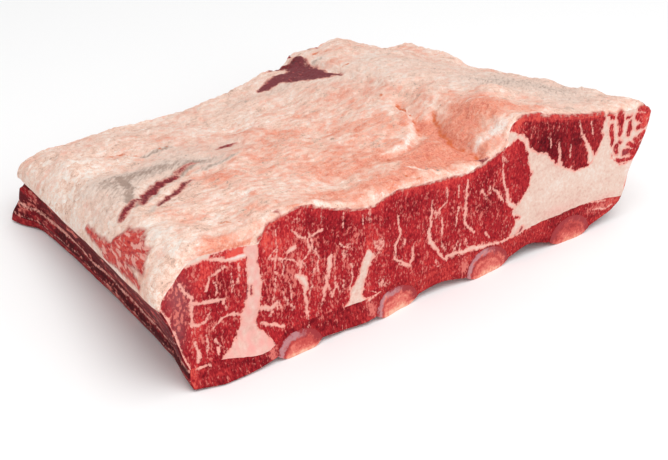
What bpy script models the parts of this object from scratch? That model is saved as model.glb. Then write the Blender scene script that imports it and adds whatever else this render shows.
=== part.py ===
"""Raw beef chuck short rib: a four-rib plate, laid bone side down.

The plate is layered. Ribs and the meat between them lie at the bottom, the muscles and the fat seams
between them come next, and the cover fat lies on top. Every layer runs from the near cut face, in the
XZ plane, to the far one. The seam lines are drawn once, on the near cut face, and each layer is a loft:
its own loop of seam lines is carried through the plate by in_plate(), which gives the plate its taper,
its plan and its folds. Neighbours share their seam lines, so they can't cross.

X runs across the ribs, Y along them away from the near cut face, Z up. The origin ends at the middle
of the plate's footprint. Seam lines and sizes are in millimetres; the meshes are in metres.
"""

import bmesh
import bpy
import numpy as np
from mathutils import Vector, noise

MM = 0.001

# Driving dimensions
DEPTH = 170.0  # from the near cut face to the far one, along the ribs
RIB_ZONE = 16.0  # ribs and the meat between them keep this height right through
FAR_HEIGHT = 31.0  # height of the thin far side
FAR_HUMP = 16.0  # how much higher the far side is over the upper muscle
FAR_HUMP_X = 180.0
FAR_HUMP_WIDTH = 42.0
FAR_LEFT_LIFT = 3.0  # the far left corner stands up by this much
FAR_FAT_GAIN = 2.5  # the cover fat's share of the height grows by this much towards the far side
CROWN = 1.5  # the top bulges by this much between the cut faces
BOW = 2.0  # the ribs and all on them bow to the right by this much between the cut faces
SOFT_HEIGHT = 60.0  # behind the near cut face its sharp steps fade into one soft rise
SOFT_RISE = 8.0
SOFT_WIDTH = 42.0
SOFT_BY = 0.45  # share of the depth over which they fade
RIGHT_TAPER = 12.0  # the right edge comes in by this much at the far side
LEFT_TOP_IN = 15.0  # the left shoulder overhangs this much less at the far side
LEFT_FOOT_IN = 1.0  # the left foot steps in by this much behind the near corner
LEFT_TAIL_OUT = 6.0  # and flares out again at the far corner
GAP = 0.3  # between neighbouring layers

LAYER_STEPS = 9  # lengths in which the inner layers run through
FAT_STEPS = 18  # a multiple of LAYER_STEPS: the cover fat's folds need shorter lengths
LINE_STEP = 5.2  # distance between the points of a seam line
ARC_POINTS = 9

# Ribs: middle, width and height of the sawn end
RIBS = (
    {"x": 49.0, "width": 22.0, "height": 9.5},
    {"x": 100.0, "width": 24.0, "height": 11.0},
    {"x": 151.5, "width": 26.0, "height": 12.5},
    {"x": 202.5, "width": 25.0, "height": 12.0},
)
CUT_LEAN = 1.2  # the near cut face stands out by this much at its foot
CUT_HEIGHT = 54.0
RIB_PROUD = 0.6  # a sawn rib end stands out of the meat beside it by this much
# How far the foot of the rib layer stands out of the near cut face, as (x, out)
FOOT_LEAN = (
    (0, 3.0), (12, 5.0), (60, 4.2), (95, 2.8), (128, 1.6), (152, 2.4), (176, 1.2), (205, 1.5), (236, 0.0),
)
RIB_SHOULDER = 2.2  # height at which a rib is widest
RIB_FLAT = 0.6  # share of a rib's width that is flat underneath
STRIP_ARCH = 1.3  # the meat between two ribs is hollow underneath by this much

# Seam lines on the near cut face, as (x, z). Each runs from one junction of seams to the next.
SEAMS = {
    # The top of the rib layer, from the left edge to the right
    "rib_layer_corner": ((-1, 10), (6, 10.6), (13, 10)),
    "rib_layer_seam": ((13, 10), (20, 8.4), (27, 6.6), (33, 6.2), (38, 7.5)),
    "rib_layer_main_left": ((38, 7.5), (44, 11), (55, 12), (66, 11.4), (73, 11)),
    "rib_layer_tongue": ((73, 11), (82, 11), (90, 11.8)),
    "rib_layer_main_right": (
        (90, 11.8), (100, 13.4), (112, 12.4), (126, 12.6), (140, 14.6), (155, 15.4), (165, 13.5),
    ),
    "rib_layer_end": ((165, 13.5), (178, 14.4), (203, 15.5), (215, 15.4), (227, 14), (237, 12)),
    # Upright seams between the muscles
    "corner_to_seam": ((13, 10), (18, 13), (22.5, 18), (24, 24), (26.5, 31), (27.8, 40), (28, 55)),
    "seam_to_main": ((38, 7.5), (36, 11.5), (32, 16), (31, 21), (33, 27), (33.9, 36), (33.2, 45), (33.5, 54)),
    "tongue_left": ((73, 11), (76.5, 14.5), (78, 18.5), (81, 24), (83, 29), (85.5, 34)),
    "tongue_right": ((85.5, 34), (88.3, 31), (88, 27), (85.5, 22), (83.5, 16), (90, 11.8)),
    "main_to_end": (
        (162, 60), (166, 61), (170, 59), (172.5, 53), (173.5, 47), (175.8, 42), (174, 35),
        (168.5, 28.5), (166, 25), (168, 20), (167, 16.5), (165, 13.5),
    ),
    "upper_underside": (
        (161.5, 66.5), (166, 64.5), (172, 60.5), (175, 55), (180, 51), (187, 47), (191, 42), (198, 38),
        (204, 35.5), (211, 35), (217, 41.5), (219.5, 47), (219.5, 58),
    ),
    "end_muscle_side": (
        (223.5, 57), (223.5, 50), (226, 43), (227.5, 36), (231, 31.5), (236, 29.5), (243, 30.5),
    ),
    # The underside of the cover fat, from the left shoulder to the right edge
    "fat_to_corner": ((-11, 40), (-9, 45), (-5, 49), (0, 54), (5, 57.3), (14, 57), (22, 56.2), (28, 55)),
    "fat_to_seam": ((28, 55), (33.5, 54)),
    "fat_to_main": (
        (33.5, 54), (36, 57.5), (41, 60.5), (47, 62.7), (54, 63.5), (62, 60.5), (70, 57), (80, 53.6),
        (90, 52.7), (98, 55.2), (110, 55), (125, 53.4), (140, 52.5), (150, 54.5), (158, 57.8), (162, 60),
    ),
    "fat_to_end": ((162, 60), (160.8, 63), (161.5, 66.5)),
    "fat_to_upper": (
        (161.5, 66.5), (164, 69.6), (168.5, 70.3), (176, 68.8), (186, 65.5), (196, 62.5), (208, 60),
        (219.5, 58),
    ),
    "fat_to_gap": ((219.5, 58), (223.5, 57)),
    "fat_to_end_muscle": ((223.5, 57), (232, 57), (242, 56), (248, 53.5), (251, 50)),
    # Outer faces
    "top": (
        (-11, 40), (-13.2, 44), (-12.8, 49), (-9.5, 54), (-4, 58.3), (4, 60.8), (16, 61.6), (28, 61.8),
        (38, 63.5), (50, 65.4), (62, 63), (72, 60), (84, 57.6), (98, 58.6), (112, 58.4), (126, 57.2),
        (140, 56.4), (150, 58.6), (158, 64), (163.5, 70.8), (170, 72), (179, 70.2), (190, 66.6), (203, 63.2),
        (220, 60.6), (235, 59.2), (245, 57.2), (251, 53.4), (251, 50),
    ),
    "left_foot": ((-1, 10), (-1.5, 5), (0, 1)),
    "left_side": ((-11, 40), (-8, 33), (-5, 23), (-3, 15), (-1, 10)),
    "right_foot": ((215, 2.2), (223, 3), (230, 4.6), (235, 8), (237, 12)),
    "right_low": ((237, 12), (239, 18), (240, 24), (243, 30.5)),
    "right_high": ((243, 30.5), (247, 37), (250, 44), (251, 50)),
    "foot_left": ((0, 1), (12, 0.9), (26, 1.2), (38, 2.2)),
}

# Folds and hollows of the top: a line in plan, its depth (a mound is negative) and half width
FOLDS = (
    {"line": ((146, 4), (147, 28), (151, 50), (158, 72)), "depth": 2.0, "width": 4.5},
    {"line": ((2, 50), (16, 66), (30, 75), (46, 84)), "depth": 1.8, "width": 5.0},
    {"line": ((14, 52), (36, 64), (60, 76)), "depth": 1.2, "width": 4.0},
    {"line": ((132, 149), (152, 146), (158, 168)), "depth": 3.4, "width": 9.0},
    {"line": ((90, 150), (98, 136), (96, 118)), "depth": 1.5, "width": 8.0},
    {"line": ((168, 26), (188, 38)), "depth": -2.0, "width": 11.0},
    {"line": ((112, 20), (134, 24)), "depth": -1.6, "width": 9.0},
    {"line": ((40, 160), (52, 138)), "depth": -1.6, "width": 12.0},
    {"line": ((205, 60), (214, 100)), "depth": 1.4, "width": 10.0},
)
LUMP_HEIGHT = 1.8  # of the small lumps all over the cover fat
LUMP_SIZE = 17.0
LIP = 6.0  # the folds start to rise this far behind the near cut face

# Colour and roughness of each kind of tissue
TISSUES = {
    "cover_fat": ((0.80, 0.62, 0.52), 0.45),
    "seam_fat": ((0.86, 0.68, 0.62), 0.40),
    "lean": ((0.36, 0.030, 0.035), 0.35),
    "dark_lean": ((0.25, 0.018, 0.024), 0.35),
    "bone": ((0.62, 0.34, 0.32), 0.50),
}


def clear_scene():
    for obj in list(bpy.data.objects):
        bpy.data.objects.remove(obj, do_unlink=True)


def ease(value, low, high):
    """0 below low, 1 above high, and a smooth S between."""
    t = np.clip((value - low) / (high - low), 0.0, 1.0)
    return t * t * (3 - 2 * t)


def smooth_line(points, step=LINE_STEP):
    """An even run of points on the smooth curve (Catmull-Rom) through the given ones."""
    given = np.array(points, float)
    ends = np.vstack([2 * given[0] - given[1], given, 2 * given[-1] - given[-2]])
    fine = []
    for a, b, c, d in zip(ends, ends[1:], ends[2:], ends[3:]):
        t = np.linspace(0, 1, 12, endpoint=False)[:, None]
        bend = (2 * a - 5 * b + 4 * c - d) + (3 * b - 3 * c + d - a) * t
        fine.append(b + 0.5 * t * ((c - a) + t * bend))
    fine = np.vstack(fine + [given[-1:]])
    run = np.append(0.0, np.cumsum(np.linalg.norm(np.diff(fine, axis=0), axis=1)))
    at = np.linspace(0, run[-1], max(2, round(run[-1] / step) + 1))
    return np.column_stack([np.interp(at, run, fine[:, 0]), np.interp(at, run, fine[:, 1])])


def rib_arc(rib):
    """The upper half of a rib's oval, from its left shoulder over the top to the right one."""
    angle = np.linspace(np.pi, 0, ARC_POINTS)
    x = rib["x"] + rib["width"] / 2 * np.cos(angle)
    z = RIB_SHOULDER + (rib["height"] - RIB_SHOULDER) * np.sin(angle)
    return np.column_stack([x, z])


def rib_base(rib):
    """The flat underside of a rib, from left to right."""
    half = rib["width"] / 2 * RIB_FLAT
    return np.array([(rib["x"] - half, 0.0), (rib["x"], 0.0), (rib["x"] + half, 0.0)])


def between_ribs(left, right):
    """The hollow underside of the meat between two ribs, from the left one to the right one."""
    low = left["x"] + left["width"] / 2
    high = right["x"] - right["width"] / 2
    middle = ((low + high) / 2, RIB_SHOULDER + STRIP_ARCH)
    return smooth_line(((low, RIB_SHOULDER), middle, (high, RIB_SHOULDER)), 2 * LINE_STEP)


LINES = {name: smooth_line(points) for name, points in SEAMS.items()}
TOP_LINE = LINES["top"]
LEFT_SIDE_TOP = SEAMS["left_side"][0][1]
SHOULDER_X = -3.0  # left of this the top line turns down over the shoulder
CREST = TOP_LINE[(TOP_LINE[:, 0] > SHOULDER_X) & (TOP_LINE[:, 1] > 55)]


def loop(*names):
    """The closed outline of a layer, from its seam lines in order; a name with a minus runs backwards."""
    runs = [LINES[name[1:]][::-1] if name[0] == "-" else LINES[name] for name in names]
    return np.vstack([run[:-1] for run in runs])


def distance_to_line(x, y, line):
    """Distance from the points (x, y) to an open line of straight pieces."""
    nearest = np.full(np.shape(x), np.inf)
    for (ax, ay), (bx, by) in zip(line, line[1:]):
        ux, uy = bx - ax, by - ay
        t = np.clip(((x - ax) * ux + (y - ay) * uy) / (ux * ux + uy * uy), 0, 1)
        nearest = np.minimum(nearest, np.hypot(x - ax - t * ux, y - ay - t * uy))
    return nearest


def folds(x, y):
    """How far the folds, hollows, mounds and lumps move the top surface up at (x, y)."""
    rise = np.array([LUMP_HEIGHT * noise.noise(Vector((px, py, 0)) / LUMP_SIZE) for px, py in zip(x, y)])
    for fold in FOLDS:
        rise -= fold["depth"] * np.exp(-((distance_to_line(x, y, fold["line"]) / fold["width"]) ** 2))
    return rise


def in_plate(outline, along):
    """Carries an outline from the near cut face to its place a share `along` of the way through."""
    x, height = outline[:, 0], outline[:, 1]
    crest = np.interp(x, CREST[:, 0], CREST[:, 1])
    far_crest = FAR_HEIGHT + FAR_HUMP * np.exp(-(((x - FAR_HUMP_X) / FAR_HUMP_WIDTH) ** 2))
    far_crest += FAR_LEFT_LIFT * (1 - ease(x, 0, 35))
    soft_crest = SOFT_HEIGHT + SOFT_RISE * np.exp(-(((x - FAR_HUMP_X) / SOFT_WIDTH) ** 2))
    near_crest = crest + (soft_crest - crest) * ease(along, 0, SOFT_BY)
    drop = along * (1.15 - 0.15 * along)
    here = near_crest + (far_crest - near_crest) * drop + CROWN * np.sin(np.pi * along)

    gain = FAR_FAT_GAIN * along
    under = 1 - np.maximum(height - RIB_ZONE, 0) / (crest - RIB_ZONE)
    under = under * (1 + gain) / (1 + gain * under)
    z = np.where(height > RIB_ZONE, RIB_ZONE + (1 - under) * (here - RIB_ZONE), height)

    up_left = np.clip(height / LEFT_SIDE_TOP, 0, 1)
    y = along * DEPTH
    foot = LEFT_FOOT_IN * ease(y, 0, 25) - LEFT_TAIL_OUT * ease(y, DEPTH - 22, DEPTH)
    left_shift = ((1 - up_left) * foot + up_left * LEFT_TOP_IN * along) * np.clip(1 - x / 30, 0, 1)
    right_shift = RIGHT_TAPER * along * (1.6 - 0.6 * along) * np.clip((x - 190) / 60, 0, 1)
    return np.column_stack([x + left_shift - right_shift + BOW * np.sin(np.pi * along), z])


def far_edge(x):
    """Plan of the far cut face: it swings out behind the upper muscle and in beside it."""
    out = 5 * np.exp(-(((x - 176) / 34) ** 2)) - 2.5 * np.exp(-(((x - 92) / 26) ** 2)) - 5 * ease(-x, -35, 5)
    return DEPTH + out - 6 * ease(x, 215, 245)


def shrink(outline, inset):
    """Moves a counterclockwise outline in by inset, so that neighbours keep a gap."""
    side = np.roll(outline, -1, axis=0) - outline
    inward = np.column_stack([-side[:, 1], side[:, 0]]) / np.linalg.norm(side, axis=1)[:, None]
    middle = inward + np.roll(inward, 1, axis=0)
    middle /= np.maximum(np.linalg.norm(middle, axis=1), 0.2)[:, None]
    reach = np.clip(np.sum(middle * inward, axis=1), 0.5, 1)
    return outline + middle * (inset / reach)[:, None]


def loft(name, outline, tissue, near_edge, steps=LAYER_STEPS, folded=0):
    """One layer: its outline carried through the plate, closed by the two cut faces.

    near_edge(x, z) is where its near end lies in Y. The last `folded` points of the outline follow
    the folds of the top.
    """
    mesh = bmesh.new()
    rings = []
    for along in np.linspace(0, 1, steps + 1):
        section = in_plate(outline, along)
        near = near_edge(outline[:, 0], outline[:, 1])
        y = near + (far_edge(outline[:, 0]) - near) * along
        section = shrink(section, GAP / 2)
        if folded:
            section[-folded:, 1] += folds(section[-folded:, 0], y[-folded:]) * ease(DEPTH * along, 0, LIP)
        points = np.column_stack([section[:, 0], y, section[:, 1]]) * MM
        rings.append([mesh.verts.new(point) for point in points])
    rank = outline @ (1.0, 0.7)  # neighbours split their shared skin along the same diagonals
    for near, far in zip(rings, rings[1:]):
        for i in range(len(outline)):
            h = i - 1
            if rank[h] < rank[i]:
                split = ((near[h], near[i], far[i]), (near[h], far[i], far[h]))
            else:
                split = ((near[h], near[i], far[h]), (near[i], far[i], far[h]))
            for corners in split:
                mesh.faces.new(corners)
    ends = [mesh.faces.new(rings[0][::-1]), mesh.faces.new(rings[-1])]
    bmesh.ops.recalc_face_normals(mesh, faces=mesh.faces)
    bmesh.ops.triangulate(mesh, faces=ends, ngon_method="BEAUTY")
    data = bpy.data.meshes.new(name)
    mesh.to_mesh(data)
    mesh.free()
    data.shade_smooth()
    data.set_sharp_from_angle(angle=np.radians(40))
    data.materials.append(finish(tissue))
    part = bpy.data.objects.new(name, data)
    PLATE.objects.link(part)
    return part


def finish(tissue):
    """The plain Principled material of one kind of tissue, made once."""
    if tissue in bpy.data.materials:
        return bpy.data.materials[tissue]
    colour, roughness = TISSUES[tissue]
    material = bpy.data.materials.new(tissue)
    material.use_nodes = True
    shader = material.node_tree.nodes["Principled BSDF"]
    shader.inputs["Base Color"].default_value = (*colour, 1)
    shader.inputs["Roughness"].default_value = roughness
    shader.inputs["Metallic"].default_value = 0
    return material


def cut_face(x, z):
    """The knife's near cut through the muscles: one flat face, leaning out a little at its foot."""
    return -CUT_LEAN * (1 - z / CUT_HEIGHT) + 0 * x


def sawn_face(x, z):
    """The near cut through the rib layer leans out at its foot, most near the left corner."""
    lean = np.interp(x, *zip(*FOOT_LEAN))
    return cut_face(x, RIB_ZONE) - lean * (1 - z / RIB_ZONE)


def rib_face(x, z):
    return sawn_face(x, z) - RIB_PROUD


def rib_layer():
    """The dark meat between and over the ribs, notched from below, and the four ribs in its notches."""
    underside = [LINES["foot_left"]]
    for i, rib in enumerate(RIBS):
        underside.append(rib_arc(rib))
        if i + 1 < len(RIBS):
            underside.append(between_ribs(rib, RIBS[i + 1]))
    LINES["underside"] = np.vstack([line[:-1] for line in underside] + [underside[-1][-1:]])
    outline = loop(
        "underside", "right_foot", "-rib_layer_end", "-rib_layer_main_right", "-rib_layer_tongue",
        "-rib_layer_main_left", "-rib_layer_seam", "-rib_layer_corner", "left_foot",
    )
    loft("intercostal_meat", outline, "dark_lean", sawn_face)
    for number, rib in enumerate(RIBS, 1):
        outline = np.vstack([rib_base(rib), rib_arc(rib)[::-1]])
        loft(f"rib_{number}", outline, "bone", rib_face)


def muscles():
    outline = loop("rib_layer_corner", "corner_to_seam", "-fat_to_corner", "left_side")
    loft("corner_muscle", outline, "lean", cut_face)
    outline = loop(
        "rib_layer_main_left", "tongue_left", "tongue_right", "rib_layer_main_right",
        "-main_to_end", "-fat_to_main", "-seam_to_main",
    )
    loft("chuck_muscle", outline, "lean", cut_face)
    loft("upper_muscle", loop("upper_underside", "-fat_to_upper"), "dark_lean", cut_face)
    loft("end_muscle", loop("end_muscle_side", "right_high", "-fat_to_end_muscle"), "lean", cut_face)


def seam_fats():
    outline = loop("rib_layer_seam", "seam_to_main", "-fat_to_seam", "-corner_to_seam")
    loft("corner_seam_fat", outline, "seam_fat", cut_face)
    loft("tongue_seam_fat", loop("rib_layer_tongue", "-tongue_right", "-tongue_left"), "seam_fat", cut_face)
    outline = loop(
        "rib_layer_end", "right_low", "-end_muscle_side", "-fat_to_gap", "-upper_underside", "-fat_to_end",
        "main_to_end",
    )
    loft("end_seam_fat", outline, "seam_fat", cut_face)


def cover_fat():
    """The fat over all the muscles, turned down over the left shoulder; its top carries the folds."""
    outline = loop(
        "fat_to_corner", "fat_to_seam", "fat_to_main", "fat_to_end", "fat_to_upper", "fat_to_gap",
        "fat_to_end_muscle", "-top",
    )
    loft("fat_cap", outline, "cover_fat", cut_face, FAT_STEPS, len(TOP_LINE) - 2)


def centre_on_footprint():
    """Moves every layer so that the origin lies under the plate's middle, at its lowest point."""
    corners = np.array([vertex.co for part in PLATE.objects for vertex in part.data.vertices])
    low, high = corners.min(axis=0), corners.max(axis=0)
    middle = Vector(((low[0] + high[0]) / 2, (low[1] + high[1]) / 2, low[2]))
    for part in PLATE.objects:
        for vertex in part.data.vertices:
            vertex.co -= middle


clear_scene()
PLATE = bpy.data.collections.new("raw_beef_chuck_short_rib")
bpy.context.scene.collection.children.link(PLATE)
rib_layer()
muscles()
seam_fats()
cover_fat()
centre_on_footprint()
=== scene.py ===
"""Raw beef chuck short rib: the looks of a four-rib plate that lies bone side down on a pale table.

Every layer is drawn as on the butcher's block: its outline on the near cut face, then carried through
the plate. Outlines are in millimetres, x across the ribs, y away from the near cut face, z up.
"""

import bpy
import numpy as np
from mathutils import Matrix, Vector, noise
from mathutils.geometry import delaunay_2d_cdt


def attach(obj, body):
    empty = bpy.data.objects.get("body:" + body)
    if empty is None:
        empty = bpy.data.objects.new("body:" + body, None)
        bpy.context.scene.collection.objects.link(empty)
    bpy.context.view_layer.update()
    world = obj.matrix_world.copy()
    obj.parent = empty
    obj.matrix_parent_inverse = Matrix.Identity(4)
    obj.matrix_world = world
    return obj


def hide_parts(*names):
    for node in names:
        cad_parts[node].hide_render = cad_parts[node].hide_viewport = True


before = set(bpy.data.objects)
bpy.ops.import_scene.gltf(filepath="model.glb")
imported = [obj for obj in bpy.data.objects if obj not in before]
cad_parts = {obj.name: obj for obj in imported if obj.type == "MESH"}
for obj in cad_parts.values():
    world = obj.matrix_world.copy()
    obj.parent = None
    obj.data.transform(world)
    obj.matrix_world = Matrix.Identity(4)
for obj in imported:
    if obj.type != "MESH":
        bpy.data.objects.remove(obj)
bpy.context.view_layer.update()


# ---- Camera, table and light ----------------------------------------------------------------------
# The camera stands at the near left corner and looks down 30 degrees on it. The plate lies on a pale
# matt table under one large soft box, with a bright room round it.
CAMERA_AT = (-0.30966, -0.45243, 0.30845)
CAMERA_LOOKS = (0.4997, 0.7073, -0.5)
CAMERA_LENS = 70.06
TABLE_COLOUR = (0.95, 0.95, 0.95, 1)
LIGHTS_AIM = Vector((0, 0, 0.03))
LIGHT_SIZE = 0.9
ROOM_STRENGTH = 0.68

camera = bpy.data.objects.new("camera", bpy.data.cameras.new("camera"))
bpy.context.scene.collection.objects.link(camera)
camera.location = CAMERA_AT
camera.rotation_mode = "QUATERNION"
camera.rotation_quaternion = Vector(CAMERA_LOOKS).to_track_quat("-Z", "Y")
camera.data.lens = CAMERA_LENS
camera.data.sensor_width = 36
camera.data.clip_start = 0.02
bpy.context.scene.camera = camera

bpy.ops.mesh.primitive_plane_add(size=8, location=(0, 0, -0.0002))
table = bpy.context.object
table.name = "table"
table_finish = bpy.data.materials.new("pale_table")
table_finish.use_nodes = True
table_shader = table_finish.node_tree.nodes["Principled BSDF"]
table_shader.inputs["Base Color"].default_value = TABLE_COLOUR
table_shader.inputs["Roughness"].default_value = 0.9
table_shader.inputs["Specular IOR Level"].default_value = 0.1
table.data.materials.append(table_finish)


def soft_box(name, place, watts):
    """A square area light at place, turned to the meat."""
    light = bpy.data.lights.new(name, "AREA")
    light.shape = "SQUARE"
    light.size = LIGHT_SIZE
    light.energy = watts
    lamp = bpy.data.objects.new(name, light)
    bpy.context.scene.collection.objects.link(lamp)
    lamp.location = place
    lamp.rotation_mode = "QUATERNION"
    lamp.rotation_quaternion = (LIGHTS_AIM - Vector(place)).to_track_quat("-Z", "Y")


soft_box("soft_box", place=(-0.02, -0.45, 1.15), watts=7.6)
soft_box("front_fill", place=(0.08, -1.25, 0.55), watts=3.2)
room = bpy.data.worlds.new("room")
room.use_nodes = True
room_light = room.node_tree.nodes["Background"]
room_light.inputs["Color"].default_value = (1, 1, 1, 1)
room_light.inputs["Strength"].default_value = ROOM_STRENGTH
bpy.context.scene.world = room
bpy.context.scene.view_settings.view_transform = "Standard"


# ---- The meat between the ribs --------------------------------------------------------------------
# Dark lean strips between and over the four ribs, sawn through with them at both cut faces. It is the
# lowest layer, so the plate's own outline and the way it runs from cut face to cut face come here.
MM = 0.001
ORIGIN = np.array((118.859, 84.531, 0.15))  # where the plate's own origin lies on the drawing
DEPTH = 170.0  # from cut face to cut face
RIB_ZONE = 16.0  # the layers below this height don't slope
FAR_HEIGHT, FAR_LEFT_LIFT = 31.0, 3.0
FAR_HUMP, FAR_HUMP_X, FAR_HUMP_WIDTH = 16.0, 180.0, 42.0
SOFT_HEIGHT, SOFT_RISE, SOFT_WIDTH, SOFT_BY = 60.0, 8.0, 42.0, 0.45  # how the crest calms down inwards
FAR_FAT_GAIN = 2.5  # how much more of the height is fat at the far face
CROWN, BOW = 1.5, 2.0  # the middle is higher, and further right
RIGHT_TAPER, LEFT_TOP_IN, LEFT_FOOT_IN, LEFT_TAIL_OUT = 12.0, 15.0, 3.4, 7.9  # how the sides close in
LEFT_SIDE_TOP = 40.0
CUT_LEAN, CUT_HEIGHT = 1.2, 54.0  # how far the near cut leans out at its foot
FOOT_LEAN = (  # how far the foot of the near cut stands out, as (x, reach)
    (0, 3.0), (12, 6.0), (28, 6.0), (60, 4.2), (73, 3.4), (83, 5.4), (90, 4.6), (102, 2.0), (114, 0.9),
    (128, 1.1), (138, 2.8), (150, 2.0), (164, 0.7), (180, 0.8), (205, 1.3), (236, 0),
)
EDGE_ROUND = 0.7  # radius of the cut edges
SLUMP_REACH = 1.8  # a slumped edge reaches this much further in than down
STEEP_SIDE = 45  # above this height the relief of the mound stands upright
UP = np.array((0.0, 1.0))
INNER_STEP, SKIN_STEP, COARSE_STEP = 1.0, 0.75, 5.2  # spacing of an outline's points
NEAR_GRAIN, FAR_GRAIN = 0.45, 1.1  # spacing of the points on the cut faces
INNER_ROWS = 12  # rows of points through the hidden skins
NONE = -3.0  # a depth in fat or lean, in millimetres, where there is none at all

RIBS = (  # x, width, height
    (49.0, 22.0, 9.5), (100.0, 24.0, 11.0), (151.5, 26.0, 12.5), (202.5, 25.0, 12.0),
)
RIB_SHOULDER, RIB_FLAT = 2.2, 0.6  # where the ribs are widest, and the share that lies flat
STRIP_ARCHES = (-1.2, 1.6, 3.0)  # how far the meat between the ribs arches up, or sags

TOP = (
    (-11, 40), (-13.2, 44), (-12.8, 49), (-9.5, 54), (-4, 58.3), (4, 60.8), (16, 61.6), (28, 61.8),
    (38, 63.5), (50, 65.4), (62, 63), (72, 60), (84, 57.6), (98, 58.6), (112, 58.4), (126, 57.2),
    (140, 56.4), (150, 58.6), (158, 64), (163.5, 70.8), (170, 72), (179, 70.2), (190, 66.6),
    (203, 63.2), (220, 60.6), (235, 59.2), (245, 57.2), (251, 53.4), (251, 50),
)
OUTER_SEAMS = {
    "top": TOP,
    "left_side": ((-11, 40), (-8, 33), (-5, 23), (-3, 15), (-1, 10)),
    "left_foot": ((-1, 10), (-1.5, 5), (0, 1)),
    "foot_left": ((0, 1), (12, 0.4), (26, 0.7), (38, 2.2)),
    "right_foot": ((215, 2.2), (223, 4), (230, 6), (235, 9), (237, 12)),
    "right_low": ((237, 12), (239, 18), (240, 24), (243, 30.5)),
    "right_high": ((243, 30.5), (247, 37), (250, 44), (251, 50)),
}
RIB_LAYER_SEAMS = {
    "rib_layer_corner": ((-1, 10), (6, 10.6), (13, 10)),
    "rib_layer_seam": ((13, 10), (20, 8.4), (27, 6.6), (33, 6.2), (38, 7.5)),
    "rib_layer_main_left": ((38, 7.5), (44, 11), (55, 12), (66, 11.4), (73, 11)),
    "rib_layer_tongue": ((73, 11), (82, 11), (90, 11.8)),
    "rib_layer_main_right": (
        (90, 11.8), (100, 13.4), (112, 12.4), (126, 12.6), (140, 14.6), (155, 15.4), (165, 13.5),
    ),
    "rib_layer_end": ((165, 13.5), (178, 14.4), (203, 15.5), (215, 15.4), (227, 14), (237, 12)),
}

shuffle = np.random.default_rng(11)
SHUFFLED = shuffle.permutation(256)
SLOPES = shuffle.normal(size=(256, 3))
SLOPES /= np.linalg.norm(SLOPES, axis=1)[:, None]


def follow(x, table):
    """The value at x of a table of (x, value)."""
    return np.interp(x, *zip(*table))


def ease(value, low, high):
    """0 below low, 1 above high, and a smooth S between."""
    t = np.clip((value - low) / (high - low), 0.0, 1.0)
    return t * t * (3 - 2 * t)


def lumps(points, size, seed=0):
    """Smooth random lumps, about -1 to 1, at points (n, 2 or 3); size is their spacing, also per axis."""
    points = np.asarray(points, float)
    if points.shape[1] == 2:
        points = np.column_stack([points, np.zeros(len(points))])
    at = points / size + 31.7 * seed + 5.3
    cell = np.floor(at).astype(int)
    inside = at - cell
    blend = inside**3 * (inside * (inside * 6 - 15) + 10)
    total = np.zeros(len(at))
    for corner in np.ndindex(2, 2, 2):
        place = (cell + corner) & 255
        key = SHUFFLED[(SHUFFLED[(SHUFFLED[place[:, 0]] + place[:, 1]) & 255] + place[:, 2]) & 255]
        weight = np.prod(np.where(corner, blend, 1 - blend), axis=1)
        total += weight * np.sum(SLOPES[key] * (inside - corner), axis=1)
    return 1.6 * total


def drift(points, size, seed):
    """Smooth random shifts in two directions."""
    return np.column_stack([lumps(points, size, seed), lumps(points, size, seed + 1)])


def smooth_line(points, step):
    """An even run of points on the smooth curve through the given ones."""
    given = np.array(points, float)
    ends = np.vstack([2 * given[0] - given[1], given, 2 * given[-1] - given[-2]])
    fine = []
    for a, b, c, d in zip(ends, ends[1:], ends[2:], ends[3:]):
        t = np.linspace(0, 1, 12, endpoint=False)[:, None]
        bend = (2 * a - 5 * b + 4 * c - d) + (3 * b - 3 * c + d - a) * t
        fine.append(b + 0.5 * t * ((c - a) + t * bend))
    fine = np.vstack(fine + [given[-1:]])
    run = np.append(0.0, np.cumsum(np.linalg.norm(np.diff(fine, axis=0), axis=1)))
    at = np.linspace(0, run[-1], max(2, round(run[-1] / step) + 1))
    return np.column_stack([np.interp(at, run, fine[:, 0]), np.interp(at, run, fine[:, 1])])


def wander(line, reach, size=3.5):
    """Lets a seam line wander sideways by up to `reach`, with its ends held."""
    along = np.gradient(line, axis=0)
    side = np.column_stack([-along[:, 1], along[:, 0]]) / np.linalg.norm(along, axis=1)[:, None]
    hold = np.minimum(np.arange(len(line)), np.arange(len(line))[::-1]) * INNER_STEP
    sway = lumps(line, size) + 0.5 * lumps(line, size / 2.3, 1)
    return line + side * (reach * sway * ease(hold, 0, 3))[:, None]


def rib_arc(x, width, height):
    """The upper half of a rib's oval, from its left shoulder over the top to the right one."""
    angle = np.linspace(np.pi, 0, round(1.5 * width / INNER_STEP))
    rise = (height - RIB_SHOULDER) * np.sin(angle)
    return np.column_stack([x + width / 2 * np.cos(angle), RIB_SHOULDER + rise])


def strip_underside(left, right, arch):
    """The underside of the meat between two ribs, from the left one to the right one."""
    low, high = left[0] + left[1] / 2, right[0] - right[1] / 2
    middle = ((low + high) / 2, RIB_SHOULDER + arch)
    return smooth_line(((low, RIB_SHOULDER), middle, (high, RIB_SHOULDER)), SKIN_STEP)


LINES = {name: smooth_line(points, SKIN_STEP) for name, points in OUTER_SEAMS.items()}
for name, points in RIB_LAYER_SEAMS.items():
    LINES[name] = wander(smooth_line(points, INNER_STEP), 0.3)
for number, rib in enumerate(RIBS, 1):
    LINES[f"rib_arc_{number}"] = rib_arc(*rib)
for number, (left, right, arch) in enumerate(zip(RIBS, RIBS[1:], STRIP_ARCHES), 1):
    LINES[f"strip_{number}"] = strip_underside(left, right, arch)


def loop(*names):
    """The closed outline of a layer, from its lines in order; a name with a minus runs backwards."""
    runs = [LINES[name[1:]][::-1] if name[0] == "-" else LINES[name] for name in names]
    return np.vstack([run[:-1] for run in runs])


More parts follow.
